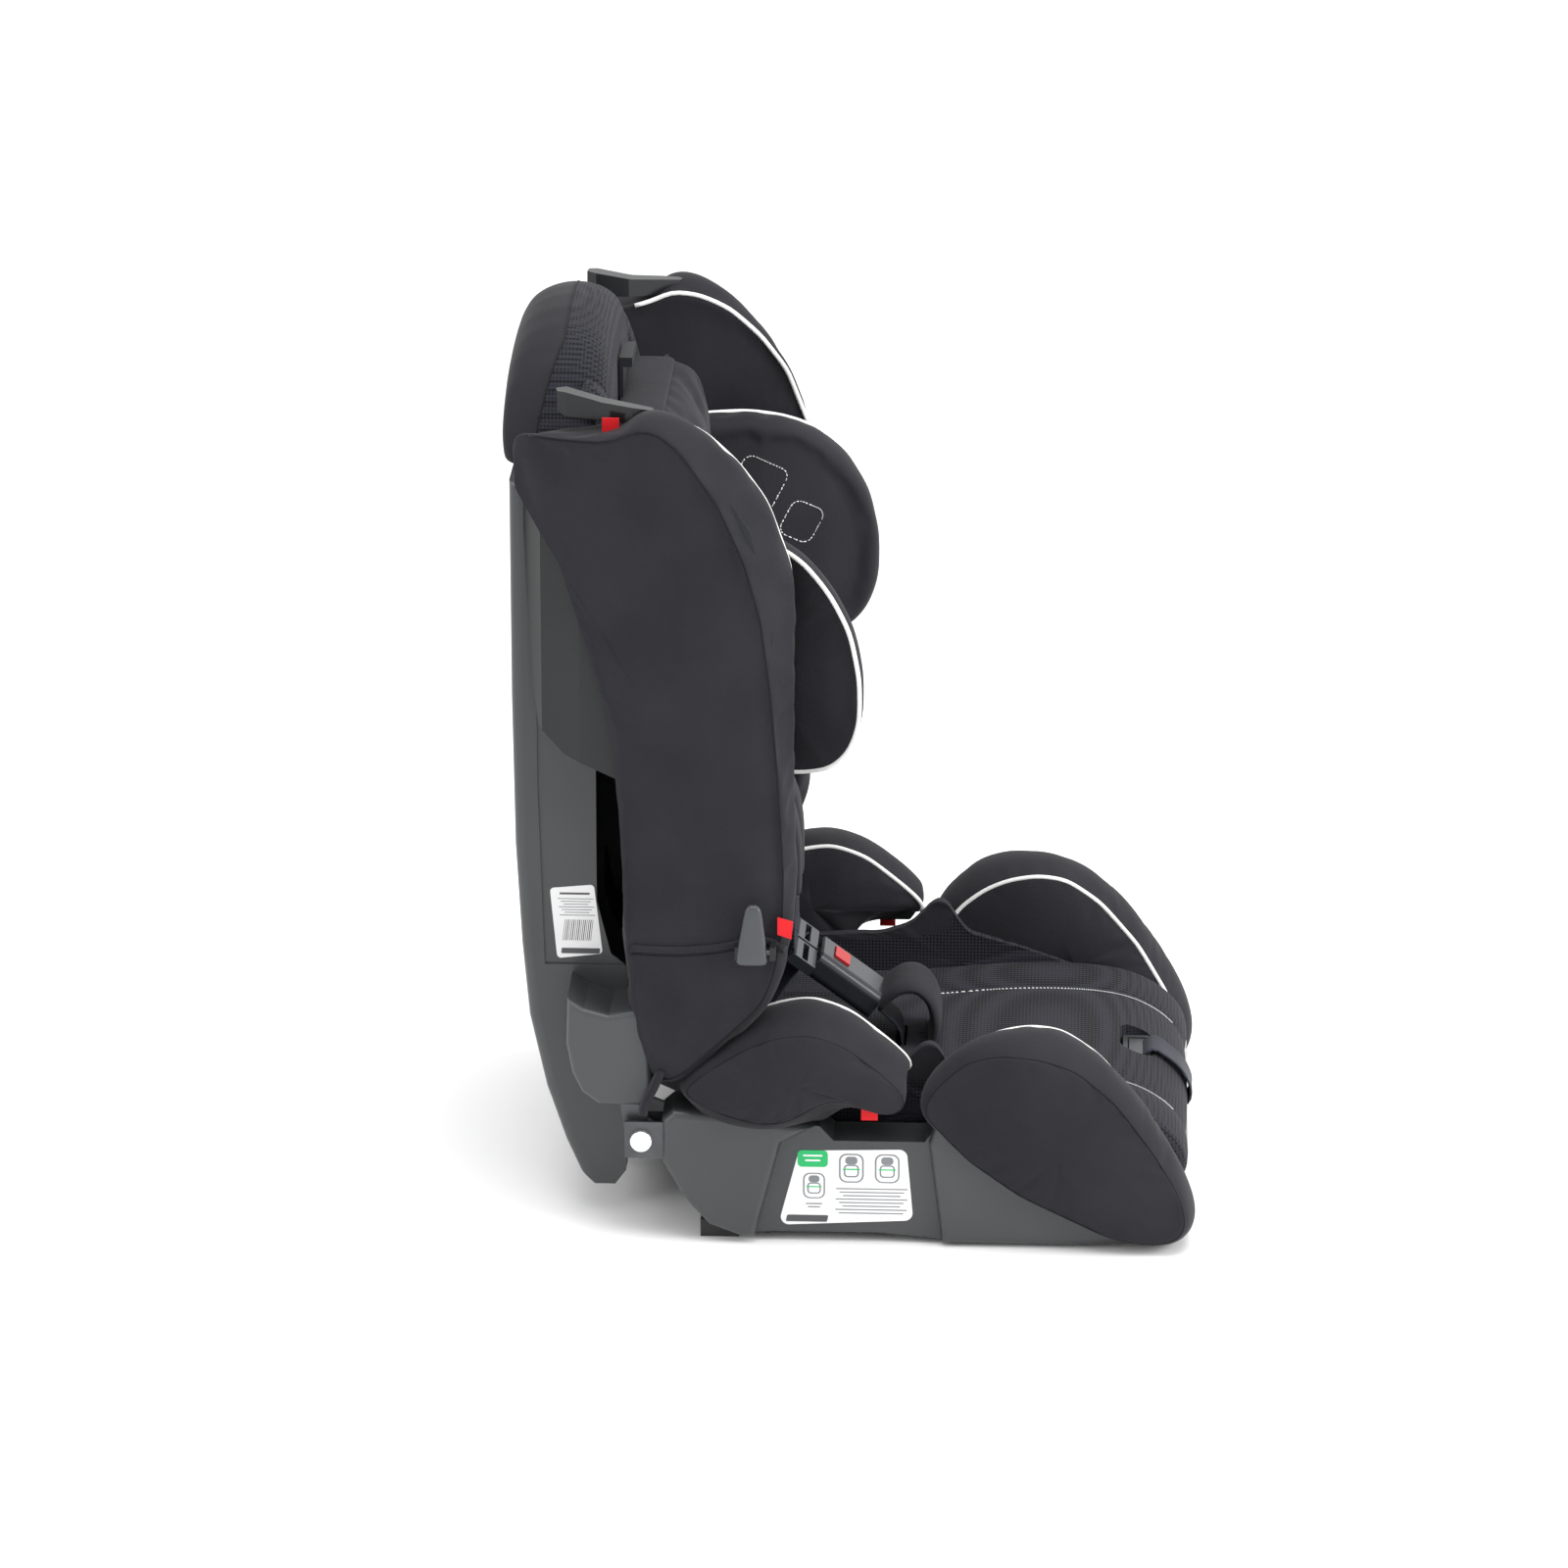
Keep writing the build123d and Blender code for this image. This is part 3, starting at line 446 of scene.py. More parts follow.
def sewn_pad(name, outer, inner, outer_y, inner_y, material, crown=5.0, dome_out=4.0, dome_in=4.0,
             count=132, soften=0.007, wrap=None, limit=0.004, turn=None):
    """A sewn pad, blown up over its foam. Returns the piece and the line of each seam."""
    rings, seams = pad_rings(outer, inner, outer_y, inner_y, crown, dome_out, dome_in, count, soften, wrap)
    points = np.vstack(rings)
    points = gather(points, len(rings), seams, count, 0.0007, 0.016)
    ends = [rings[0].mean(0), rings[-1].mean(0)]
    points = np.vstack([points, ends])
    if turn:
        points = turn(points)
    faces = ring_faces(len(rings), count)
    piece = mesh_piece(name, points, faces, material)
    held = [s * count + k for s in seams for k in range(count)]
    swell(piece, held, limit)
    lines = [np.array([piece.data.vertices[s * count + k].co[:] for k in range(count)]) for s in seams]
    refine(piece)
    face_out(piece, points.mean(0))
    return piece, lines


def sweep(name, path, section, material, across=None, closed=False, smooth=True):
    """A solid of one cross-section (u, v) along a path; u lies along across, v stands off the surface."""
    path = np.array(path, float)
    count = len(path)
    if closed:
        along = np.roll(path, -1, 0) - np.roll(path, 1, 0)
    else:
        along = np.gradient(path, axis=0)
    along /= np.linalg.norm(along, axis=1)[:, None] + 1e-12
    if across is None:
        side = np.cross(along[0], (0.31, 0.2, 0.93))
        sides = []
        for step in along:
            side = side - step * np.dot(side, step)
            side /= np.linalg.norm(side)
            sides.append(side)
        sides = np.array(sides)
    else:
        sides = np.broadcast_to(np.array(across, float), path.shape).copy()
        sides -= along * np.sum(sides * along, axis=1)[:, None]
        sides /= np.linalg.norm(sides, axis=1)[:, None]
    ups = np.cross(along, sides)
    section = np.array(section, float)
    size = len(section)
    points = [path[i] + sides[i] * u + ups[i] * v for i in range(count) for u, v in section]
    faces = []
    for i in range(count if closed else count - 1):
        j = (i + 1) % count
        for k in range(size):
            n = (k + 1) % size
            faces.append((i * size + k, i * size + n, j * size + n, j * size + k))
    if not closed:
        faces.append(tuple(range(size))[::-1])
        faces.append(tuple((count - 1) * size + k for k in range(size)))
    return mesh_piece(name, points, faces, material, smooth)


def round_section(radius, sides=10):
    """A circle of points."""
    return [(radius * math.cos(2 * math.pi * k / sides), radius * math.sin(2 * math.pi * k / sides))
            for k in range(sides)]


def between(line, start, end, higher=2):
    """The stretch of a closed line between the points nearest two (x, z) in mm, the way that runs higher."""
    flat = line[:, [0, 2]]
    a = int(np.argmin(np.linalg.norm(flat - np.array(start) / 1000, axis=1)))
    b = int(np.argmin(np.linalg.norm(flat - np.array(end) / 1000, axis=1)))
    order = [(a + k) % len(line) for k in range((b - a) % len(line) + 1)]
    back = [(a - k) % len(line) for k in range((a - b) % len(line) + 1)]
    one, two = line[order], line[back]
    return one if one[:, higher].mean() > two[:, higher].mean() else two


KNIT = knit("black_knit", (0.0115, 0.0108, 0.0140))
PIPING = knit("white_piping", (0.62, 0.62, 0.61), 0.6, 0.1)
# Near-black knit for thin cords laid along the seams: painted shade of the seam grooves, not a thread colour.
SEAM_SHADE = knit("seam_shadow", (0.004, 0.004, 0.005))
RED_TAPE = knit("red_tape", (0.50, 0.008, 0.012), 0.6, 0.02)
GREY_PLASTIC = moulded("grey_plastic", (0.040, 0.042, 0.046), 0.34, 0.25)
DARK_SHELL = moulded("inner_plastic", (0.012, 0.013, 0.014), 0.5, 0.25, Specular_IOR_Level=0.3)

PIPE_R = 0.0017
SHADE_CORD_R = 0.0006
ARM_OUT = [(-124, 120), (-104, 137), (-80, 154), (-56, 165), (-31, 168), (-7, 160), (17, 142), (33, 127),
           (39, 120), (38, 111), (29, 107), (17, 108), (6, 114), (-6, 119), (-18, 118), (-30, 111),
           (-42, 103), (-54, 99), (-72, 99), (-98, 106)]
ARM_IN = [(-125, 118), (-106, 140), (-82, 158), (-56, 171), (-30, 175), (-4, 166), (20, 147), (37, 132),
          (43, 124), (41, 119), (32, 121), (18, 123), (5, 121), (-6, 114), (-12, 105), (-15, 95), (-24, 82),
          (-70, 82), (-112, 84), (-124, 98)]
arm, arm_seams = sewn_pad("armrest_cover_right", ARM_OUT, ARM_IN, [(-130, -218), (-60, -225), (45, -224)],
                          [(-130, -168), (-60, -166), (45, -167)], KNIT, crown=6, dome_out=5, dome_in=5)
arm_pipe_line = between(arm_seams[1], (-100, 146), (43, 119))
arm_pipe = sweep("armrest_piping_right", arm_pipe_line, round_section(PIPE_R), PIPING)
# A near-black cord round the outer seam: painted shade in the seam's groove.
arm_shade_cord = sweep("armrest_seam_right", arm_seams[0], round_section(SHADE_CORD_R, 6), SEAM_SHADE, closed=True)
arm_left = mirrored(arm, "armrest_cover_left")
arm_pipe_left = mirrored(arm_pipe, "armrest_piping_left")
arm_shade_cord_left = mirrored(arm_shade_cord, "armrest_seam_left")
for piece, side in ((arm, "right"), (arm_left, "left")):
    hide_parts("armrest_pad_" + side)
for piece in (arm, arm_left, arm_pipe, arm_pipe_left, arm_shade_cord, arm_shade_cord_left):
    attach(piece, "base")
for side in ("_right", "_left"):
    dress("armrest_shell" + side, DARK_SHELL)
dress("armrest_belt_tags", RED_TAPE)


# ---------------------------------------------------------------- seat cushion
# The seat pad: foam under ribbed spacer mesh, in three panels parted by two sunk lines of
# white topstitching, folded down over the front of the base and slotted for the harness.
def spacer_mesh(name, colour, pitch=0.0026):
    """Open spacer mesh: a regular field of small holes over ribbed yarn."""
    made = finish_of(name, 0.85, Sheen_Weight=0.06, Sheen_Roughness=0.5, Specular_IOR_Level=0.2)
    tree = made.node_tree
    where = tree.nodes.new("ShaderNodeTexCoord")
    spread = tree.nodes.new("ShaderNodeVectorMath")
    spread.operation = "MULTIPLY"
    k = 2 * math.pi / pitch
    spread.inputs[1].default_value = (k, k * 0.62, k)
    wave = tree.nodes.new("ShaderNodeVectorMath")
    wave.operation = "SINE"
    total = tree.nodes.new("ShaderNodeVectorMath")
    total.operation = "DOT_PRODUCT"
    total.inputs[1].default_value = (0.4, 0.4, 0.4)
    holes = tree.nodes.new("ShaderNodeMapRange")
    holes.inputs["From Min"].default_value = -0.55
    holes.inputs["From Max"].default_value = 0.1
    ramp = tree.nodes.new("ShaderNodeValToRGB")
    ramp.color_ramp.elements[0].color = (*[c * 0.25 for c in colour], 1)
    ramp.color_ramp.elements[1].color = (*[c * 1.6 for c in colour], 1)
    tree.links.new(where.outputs["Object"], spread.inputs[0])
    tree.links.new(spread.outputs["Vector"], wave.inputs[0])
    tree.links.new(wave.outputs["Vector"], total.inputs[0])
    tree.links.new(total.outputs["Value"], holes.inputs["Value"])
    tree.links.new(holes.outputs["Result"], ramp.inputs["Fac"])
    tree.links.new(ramp.outputs["Color"], tree.nodes["Principled BSDF"].inputs["Base Color"])
    bump_from(made, holes.outputs["Result"], 0.8, 0.0008)
    return made


MESH = spacer_mesh("mesh_fabric", (0.0095, 0.0095, 0.0140))


def smooth_path(corners, step=0.004):
    """Evenly spaced points along a curve through (x, z) points in mm, in metres."""
    p = np.array(corners, float) / 1000
    p = np.vstack([2 * p[0] - p[1], p, 2 * p[-1] - p[-2]])
    dense = []
    for a, b, c, d in zip(p[:-3], p[1:-2], p[2:-1], p[3:]):
        for t in np.linspace(0, 1, 14, endpoint=False):
            dense.append(0.5 * (2 * b + (c - a) * t + (2 * a - 5 * b + 4 * c - d) * t * t
                                + (3 * b - a - 3 * c + d) * t ** 3))
    dense = np.array(dense + [p[-2]])
    length = np.r_[0, np.cumsum(np.linalg.norm(np.diff(dense, axis=0), axis=1))]
    at = np.linspace(0, length[-1], max(3, int(length[-1] / step)))
    return np.column_stack([np.interp(at, length, dense[:, k]) for k in range(dense.shape[1])])


def long_cushion(name, profile, half_width, thick, channels, material, crown=0.003, side=1):
    """A cushion of one cross-section run along a profile of (x, z), sunk along its sewn channels."""
    line = smooth_path(profile, 0.006)
    along = np.gradient(line, axis=0)
    along /= np.linalg.norm(along, axis=1)[:, None]
    up = np.column_stack([-along[:, 1], along[:, 0]]) * side
    edge = 0.010
    across = []
    for k in range(9):
        a = math.pi / 2 * k / 8
        across.append((-half_width + edge - edge * math.cos(a), -edge + edge * math.sin(a)))
    inner = np.linspace(-half_width + edge, half_width - edge, 61)[1:-1]
    across += [(y, 0.0) for y in inner]
    across += [(-y, v) for y, v in across[:9][::-1]]
    across = np.array(across)
    sunk = np.zeros(len(across))
    bounds_y = [-half_width] + sorted(channels) + [half_width]
    for low, high in zip(bounds_y[:-1], bounds_y[1:]):
        here = (across[:, 0] >= low) & (across[:, 0] <= high)
        share = (across[:, 0] - low) / (high - low)
        sunk[here] = crown * (np.sin(math.pi * share[here]) ** 0.45)
    across[:, 1] += sunk
    top = len(across)
    under = [(half_width, -thick), (-half_width, -thick)]
    section = np.vstack([across, under])
    size = len(section)
    points = []
    for i, (x, z) in enumerate(line):
        ease = min(1.0, i / 3.0, (len(line) - 1 - i) / 3.0)
        for y, v in section:
            drop = 0.006 * (1 - math.sqrt(max(0.0, 1 - (1 - ease) ** 2))) if v > -thick * 0.9 else 0
            points.append((x + up[i, 0] * (v - drop), y, z + up[i, 1] * (v - drop)))
    faces = []
    for i in range(len(line) - 1):
        for k in range(size):
            n = (k + 1) % size
            faces.append((i * size + k, (i + 1) * size + k, (i + 1) * size + n, i * size + n))
    faces.append(tuple(range(size)))
    faces.append(tuple((len(line) - 1) * size + k for k in range(size))[::-1])
    made = mesh_piece(name, points, faces, material)
    held = [i * size + k for i in range(len(line)) for k in range(top)
            if min(abs(across[k, 0] - c) for c in channels + [half_width, -half_width]) < 0.003]
    held += [i * size + k for i in range(len(line)) for k in (top, top + 1)]
    swell(made, held, 0.003, 3.0)
    refine(made)
    face_out(made, np.mean(points, axis=0))
    return made


def cut_slot(piece, low, high, corner=0.0):
    """Cuts a bound opening through a cover, between two corners in mm; corner rounds it in plan."""
    low, high = np.array(low) / 1000, np.array(high) / 1000
    plan = []
    steps = 7 if corner else 1
    turns = [(high[0], high[1]), (low[0], high[1]), (low[0], low[1]), (high[0], low[1])]
    for turn, (x, y) in enumerate(turns):
        inset_x = x + (corner if x == low[0] else -corner)
        inset_y = y + (corner if y == low[1] else -corner)
        for k in range(steps):
            a = math.pi / 2 * (turn + k / max(1, steps - 1))
            plan.append((inset_x + corner * math.cos(a), inset_y + corner * math.sin(a)))
    many = len(plan)
    corners = [(x, y, z) for z in (low[2], high[2]) for x, y in plan]
    sides = [tuple(range(many))[::-1], tuple(range(many, 2 * many))]
    sides += [(k, (k + 1) % many, many + (k + 1) % many, many + k) for k in range(many)]
    cutter = mesh_piece("slot_cutter", corners, sides, SEAM_SHADE, smooth=False)
    take = piece.modifiers.new("slot", "BOOLEAN")
    take.operation = "DIFFERENCE"
    take.object = cutter
    take.solver = "EXACT"
    take.use_self = True
    seen = piece.evaluated_get(bpy.context.evaluated_depsgraph_get())
    finished = bpy.data.meshes.new_from_object(seen)
    piece.modifiers.remove(take)
    old = piece.data
    piece.data = finished
    bpy.data.meshes.remove(old)
    finished.name = piece.name
    bpy.data.objects.remove(cutter)


def surface_of(*pieces):
    """A search tree over the pieces' faces, to lay thread and tape on."""
    points, faces = [], []
    for piece in pieces:
        start = len(points)
        points += [v.co.copy() for v in piece.data.vertices]
        faces += [[start + i for i in f.vertices] for f in piece.data.polygons]
    return BVHTree.FromPolygons(points, faces)


def lay_on(tree, points, direction):
    """Drops points onto a surface along a direction. Returns the points and normals that land."""
    direction = Vector(direction).normalized()
    spots, normals = [], []
    for p in points:
        hit, normal, _, _ = tree.ray_cast(Vector(p) - direction * 0.12, direction, 0.4)
        if hit is not None:
            spots.append(hit[:])
            normals.append((normal if normal.dot(direction) < 0 else -normal)[:])
    return np.array(spots), np.array(normals)


def even(points, step):
    """The same open line with evenly spaced points."""
    points = np.array(points, float)
    length = np.r_[0, np.cumsum(np.linalg.norm(np.diff(points, axis=0), axis=1))]
    at = np.arange(0, length[-1], step)
    return np.column_stack([np.interp(at, length, points[:, k]) for k in range(points.shape[1])])


def topstitch(name, spots, normals, material, stitch=0.0042, gap=0.0020, thread=0.00045):
    """One row of thread: short rounded stitches along a line that lies on the cover."""
    step = 0.0007
    both = even(np.hstack([spots, normals]), step)
    long_, rest = int(round(stitch / step)), int(round(gap / step))
    points, faces = [], []
    sides = 6
    start = 0
    while start + long_ < len(both):
        rows = [start + round(long_ * s) for s in (0, 0.15, 0.5, 0.85, 1)]
        along = both[rows[-1], :3] - both[rows[0], :3]
        along /= np.linalg.norm(along) + 1e-12
        up = both[rows[2], 3:] - along * np.dot(both[rows[2], 3:], along)
        up /= np.linalg.norm(up) + 1e-12
        side = np.cross(along, up)
        base = len(points)
        for row, fat, lift in zip(rows, (0.35, 0.95, 1.1, 0.95, 0.35), (0.0, 0.6, 0.9, 0.6, 0.0)):
            for k in range(sides):
                a = 2 * math.pi * k / sides
                points.append(both[row, :3] + up * thread * lift
                              + (side * math.cos(a) + up * math.sin(a)) * thread * fat)
        for r in range(4):
            for k in range(sides):
                n = (k + 1) % sides
                faces.append((base + r * sides + k, base + r * sides + n,
                              base + (r + 1) * sides + n, base + (r + 1) * sides + k))
        faces.append(tuple(base + k for k in range(sides))[::-1])
        faces.append(tuple(base + 4 * sides + k for k in range(sides)))
        start += long_ + rest
    return mesh_piece(name, points, faces, material)


SEAT_TOP = [(-124, 81), (-100, 81), (-60, 79), (-20, 79), (20, 80), (60, 83), (100, 87), (140, 88.5),
            (175, 87), (200, 82), (220, 72), (234, 59), (240, 46), (240, 35), (236, 28)]
SEAT_HALF = 0.153
SEAT_THICK = 0.016
CHANNEL_Y = 0.09
seat = long_cushion("seat_cover", SEAT_TOP, SEAT_HALF, SEAT_THICK, [-CHANNEL_Y, CHANNEL_Y], MESH)
cut_slot(seat, (25, -21, 60), (33, 21, 100))
cut_slot(seat, (192, -26, 60), (217, 26, 100), 0.0115)
seat_tree = surface_of(seat)
thread_lines = []
for number, y in enumerate((-CHANNEL_Y, CHANNEL_Y)):
    spots, normals = lay_on(seat_tree, [(x / 1000, y, 0.1) for x in range(40, 233, 3)], (0, 0, -1))
    thread_lines.append(topstitch(f"seat_stitching_{number}", spots, normals, PIPING))
for piece in [seat] + thread_lines:
    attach(piece, "base")
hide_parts("seat_cushion")


# ---------------------------------------------------------------- thigh bolsters
# High padded cheeks beside the legs: foam on the base's front cheeks in the same stretch
# knit, boxed, with white piping round the inner panel.
BOLSTER_OUT = [(51, 104), (53, 115), (63, 129), (83, 147), (106, 153), (134, 151), (161, 142), (190, 117),
               (217, 80), (236, 48), (242, 24), (236, 12), (214, 9), (186, 14), (122, 45), (84, 71),
               (62, 94)]
BOLSTER_IN = [(57, 104), (62, 118), (70, 128), (88, 142), (106, 150), (128, 154), (150, 151), (176, 133),
              (205, 99), (227, 61), (242, 26), (243, 10), (232, 6), (214, 12), (190, 30), (150, 58),
              (95, 78), (68, 88)]
BOLSTER_OUT_Y = [(50, -216), (120, -222), (250, -222)]
BOLSTER_IN_Y = [(50, -164), (120, -162), (250, -162)]
bolster, bolster_seams = sewn_pad("bolster_cover_right", BOLSTER_OUT, BOLSTER_IN, BOLSTER_OUT_Y, BOLSTER_IN_Y,
                                  KNIT, crown=7, dome_out=5, dome_in=5)
bolster_pipe = sweep("bolster_piping_right", between(bolster_seams[1], (64, 108), (243, 12)),
                     round_section(PIPE_R), PIPING)
# A near-black cord round the outer seam: painted shade in the seam's groove.
bolster_shade_cord = sweep("bolster_seam_right", bolster_seams[0], round_section(SHADE_CORD_R, 6), SEAM_SHADE, closed=True)
bolster_left = mirrored(bolster, "bolster_cover_left")
bolster_pipe_left = mirrored(bolster_pipe, "bolster_piping_left")
bolster_seam_left = mirrored(bolster_shade_cord, "bolster_seam_left")
for piece, side in ((bolster, "right"), (bolster_left, "left")):
    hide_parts("thigh_bolster_" + side)
for piece in (bolster, bolster_left, bolster_pipe, bolster_pipe_left, bolster_shade_cord, bolster_seam_left):
    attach(piece, "base")

# ---------------------------------------------------------------- seat side panels
# Thin padded panels that close each side of the seat between the armrest, the belt slot and
# the bolster: mesh below, knit above, sewn to the seat cover.
FLAP = [(-62, 72), (150, 66), (205, 58), (212, 63), (205, 70), (160, 85), (114, 101), (76, 111), (66, 124),
        (58, 138), (50, 138), (43, 130), (32, 118), (9, 110), (-12, 110), (-60, 106)]
MESH_EDGE = [(-62, 104), (-9, 105), (32, 107), (62, 112), (66, 200), (220, 200)]
flap, flap_seams = sewn_pad("seat_side_panel_right", FLAP, FLAP, [(-70, -157.2), (160, -157.2)],
                            [(-70, -149.0), (160, -149.0)], KNIT, crown=0, dome_out=0.4, dome_in=1.0,
                            limit=0.0008, soften=0.004)
flap.data.materials.append(MESH)
for face in flap.data.polygons:
    face.material_index = 1 if face.center.z < depth_at(MESH_EDGE, face.center.x) else 0
flap_left = mirrored(flap, "seat_side_panel_left")
for piece in (flap, flap_left):
    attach(piece, "base")


# ---------------------------------------------------------------- harness adjuster
# A moulded frame let into the front of the seat with a press lever, and the webbing tail
# that tightens the harness.
def woven(name, colour, pitch=0.0016):
    """Polyester seat webbing: fine twill ribs, slightly glossy yarn."""
    made = finish_of(name, 0.55, Sheen_Weight=0.05, Specular_IOR_Level=0.3)
    lighter = tuple(c * 1.3 for c in colour)
    where = mottle(made, colour, lighter, 120.0, (0.48, 0.62))
    tree = made.node_tree
    twill = tree.nodes.new("ShaderNodeTexWave")
    twill.bands_direction = "DIAGONAL"
    twill.inputs["Scale"].default_value = 2 * math.pi / (20 * pitch)
    tree.links.new(where.outputs["Object"], twill.inputs["Vector"])
    bump_from(made, twill.outputs["Fac"], 0.6, 0.0004)
    return made


def flat_section(width, thickness):
    """The cross-section of woven tape, with rounded selvedges and a fine raised edge."""
    half, edge = width / 2, thickness / 2
    upper = [(-half, 0.0), (-half + edge * 0.3, edge * 0.8), (-half + edge * 1.5, edge * 1.15),
             (-half + 0.003, edge * 0.9)]
    upper += [(half - (u + half), v) for u, v in upper[::-1]]
    lower = [(u, -v) for u, v in upper[1:-1]][::-1]
    return upper + lower


def at_width(line, y):
    """A line of (x, z) set at one y."""
    return np.column_stack([line[:, 0], np.full(len(line), y), line[:, 1]])


WEBBING = woven("webbing", (0.013, 0.015, 0.024))
dress("adjuster_housing", SHELL)
dress("adjuster_button", GREY_PLASTIC)
TAIL = [(206, 73), (213, 79), (219, 80.5), (229, 74), (238.5, 65), (245, 52), (245.5, 43), (243, 38)]
tail = sweep("adjuster_tail", at_width(smooth_path(TAIL), 0.0), flat_section(0.030, 0.0018), WEBBING,
             across=(0, 1, 0))
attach(tail, "base")
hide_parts("adjuster_strap")


# ---------------------------------------------------------------- buckle and crotch strap
# A two-part nylon buckle case with a red press button and two tongues, on a short webbing
# strap through the cushion, with a folded foam comforter over it.
RED_PLASTIC = moulded("red_plastic", (0.42, 0.010, 0.012), 0.35, 0.1)
BUCKLE_GREY = moulded("buckle_plastic", (0.022, 0.025, 0.030), 0.22, 0.08)
dress("buckle_body", BUCKLE_GREY)
dress("buckle_button", RED_PLASTIC)
dress("buckle_tongue_right", BUCKLE_GREY)
dress("buckle_tongue_left", BUCKLE_GREY)


def strap(name, corners, y, width, thickness, material):
    """Webbing along (x, z) corners at one y."""
    path = at_width(smooth_path(corners, 0.003), y)
    return sweep(name, path, flat_section(width, thickness), material, across=(0, 1, 0))


def sleeve_section(width, thickness, steps=9):
    """A soft sleeve's cross-section: full in the middle, thin and stitched flat at its edges."""
    points = []
    for k in range(2 * steps):
        a = 2 * math.pi * k / (2 * steps)
        c, s = math.cos(a), math.sin(a)
        u = math.copysign(abs(c) ** 0.55, c) * width / 2
        v = math.copysign(abs(s) ** 0.8, s) * thickness / 2
        points.append((u, v))
    return points


TAPE_THICK = 0.0018
CROTCH = [(30, 52), (30, 84), (27, 96), (19.5, 104), (12, 111)]
COMFORTER = [(13, 113), (19, 121), (29, 128.5), (41, 129), (51, 119), (55, 101), (52.5, 86)]
crotch = strap("crotch_webbing", CROTCH, 0, 0.036, TAPE_THICK, WEBBING)
comforter = sweep("crotch_comforter", at_width(smooth_path(COMFORTER, 0.003), 0.0),
                  sleeve_section(0.060, 0.0085, 12), KNIT, across=(0, 1, 0))
refine(comforter)
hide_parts("crotch_strap")
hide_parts("crotch_pad")
for piece, name in ((crotch, "webbing"), (comforter, "black_knit")):
    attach(piece, "base")


# ---------------------------------------------------------------- recline handle
# The pull under the front edge: a moulded grip on a steel rod and cross bar that drops
# into the notched racks on the back.
dress("recline_handle", GREY_PLASTIC)


# ---------------------------------------------------------------- back shell and wings
# The rear shell and its two flared wings, in the same moulded plastic as the base. Each
# wing is wrapped in foam and knit with piping on the front edge and a hemmed pocket low down.
dress("back_shell", SHELL)
for side in ("_right", "_left"):
    dress("wing_shell" + side, DARK_SHELL)

WING_OUT = [(-243, 555), (-229, 540), (-211, 510), (-191, 452), (-174, 394), (-168, 328), (-163, 231),
            (-154, 163), (-138, 124), (-122, 132), (-92, 160), (-66, 186), (-57, 208), (-51, 243),
            (-50, 285), (-54, 358), (-59, 420), (-66, 476), (-77, 517), (-96, 560), (-122, 598),
            (-138, 611), (-152, 613), (-164, 606), (-181, 602), (-226, 600), (-242, 598), (-244, 590)]
WING_IN = [(-241, 553), (-227, 541), (-209, 510), (-190, 452), (-174, 394), (-168, 328), (-163, 231),
           (-154, 163), (-138, 126), (-119, 136), (-90, 163), (-66, 190), (-57, 214), (-52, 245),
           (-49, 283), (-49, 355), (-48, 414), (-45, 470), (-47, 505), (-64, 551), (-84, 578), (-107, 599),
           (-130, 610), (-150, 613), (-165, 606), (-181, 602), (-200, 599), (-226, 592), (-240, 588),
           (-242, 580)]
WING_OUT_Y = [(-262, -142), (-252, -154), (-228, -181), (-200, -196), (-175, -205), (-120, -214),
              (-70, -215), (-46, -210), (-36, -204)]
WING_CROWN = [(-250, 2), (-168, 2), (-150, 9), (-100, 9), (-60, 8), (-30, 8)]
WING_IN_Y = [(-262, -134), (-240, -150), (-186, -155), (-120, -165), (-60, -170), (-42, -175), (-36, -180)]
wing, wing_seams = sewn_pad("wing_cover_cloth_right", WING_OUT, WING_IN, WING_OUT_Y, WING_IN_Y, KNIT,
                            crown=WING_CROWN, dome_out=3.5, dome_in=4, count=200, soften=0.006)
wing_pipe = sweep("wing_piping_right", between(wing_seams[1], (-176, 603), (-52, 245)),
                  round_section(PIPE_R), PIPING)
# A near-black cord along the outer seam: painted shade in the seam's groove.
wing_shade_cord = sweep("wing_seam_right", between(wing_seams[0], (-232, 600), (-138, 124), 0),
                  round_section(0.0007, 6), SEAM_SHADE)
wing_tree = surface_of(wing)


def tape_on(name, tree, corners, direction, width, thickness, material, y):
    """Flat tape laid on a cover along (x, z) corners, dropped on it from this y."""
    spots, normals = lay_on(tree, at_width(smooth_path(corners, 0.004), y), direction)
    spots = spots + normals * thickness * 0.4
    along = np.gradient(spots, axis=0)
    side = np.cross(along, normals)
    section = [(-width / 2, -thickness), (-width / 2 * 0.9, thickness / 2), (width / 2 * 0.9, thickness / 2),
               (width / 2, -thickness)]
    return sweep(name, spots, section, material, across=side)


HEM = [(-160, 226), (-130, 227), (-100, 230), (-80, 234), (-66, 236), (-55, 233), (-49, 227)]
HEM_SHADE_LINE = [(x, z - 5) for x, z in HEM]
OUTSIDE_Y = -0.26
hem = tape_on("wing_pocket_hem_right", wing_tree, HEM, (0, 1, 0), 0.0045, 0.0012, KNIT, OUTSIDE_Y)
# A near-black cord just below the hem: painted shade in the pocket seam's groove.
spots, normals = lay_on(wing_tree, at_width(smooth_path(HEM_SHADE_LINE, 0.004), OUTSIDE_Y), (0, 1, 0))
hem_shade_cord = sweep("wing_pocket_seam_right", spots, round_section(0.0005, 6), SEAM_SHADE)
wing_parts = [wing, wing_pipe, wing_shade_cord, hem, hem_shade_cord]
wing_parts_left = [mirrored(piece, piece.name.replace("_right", "_left")) for piece in wing_parts]
for piece in wing_parts + wing_parts_left:
    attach(piece, "back")
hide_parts("wing_cover_right")
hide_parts("wing_cover_left")


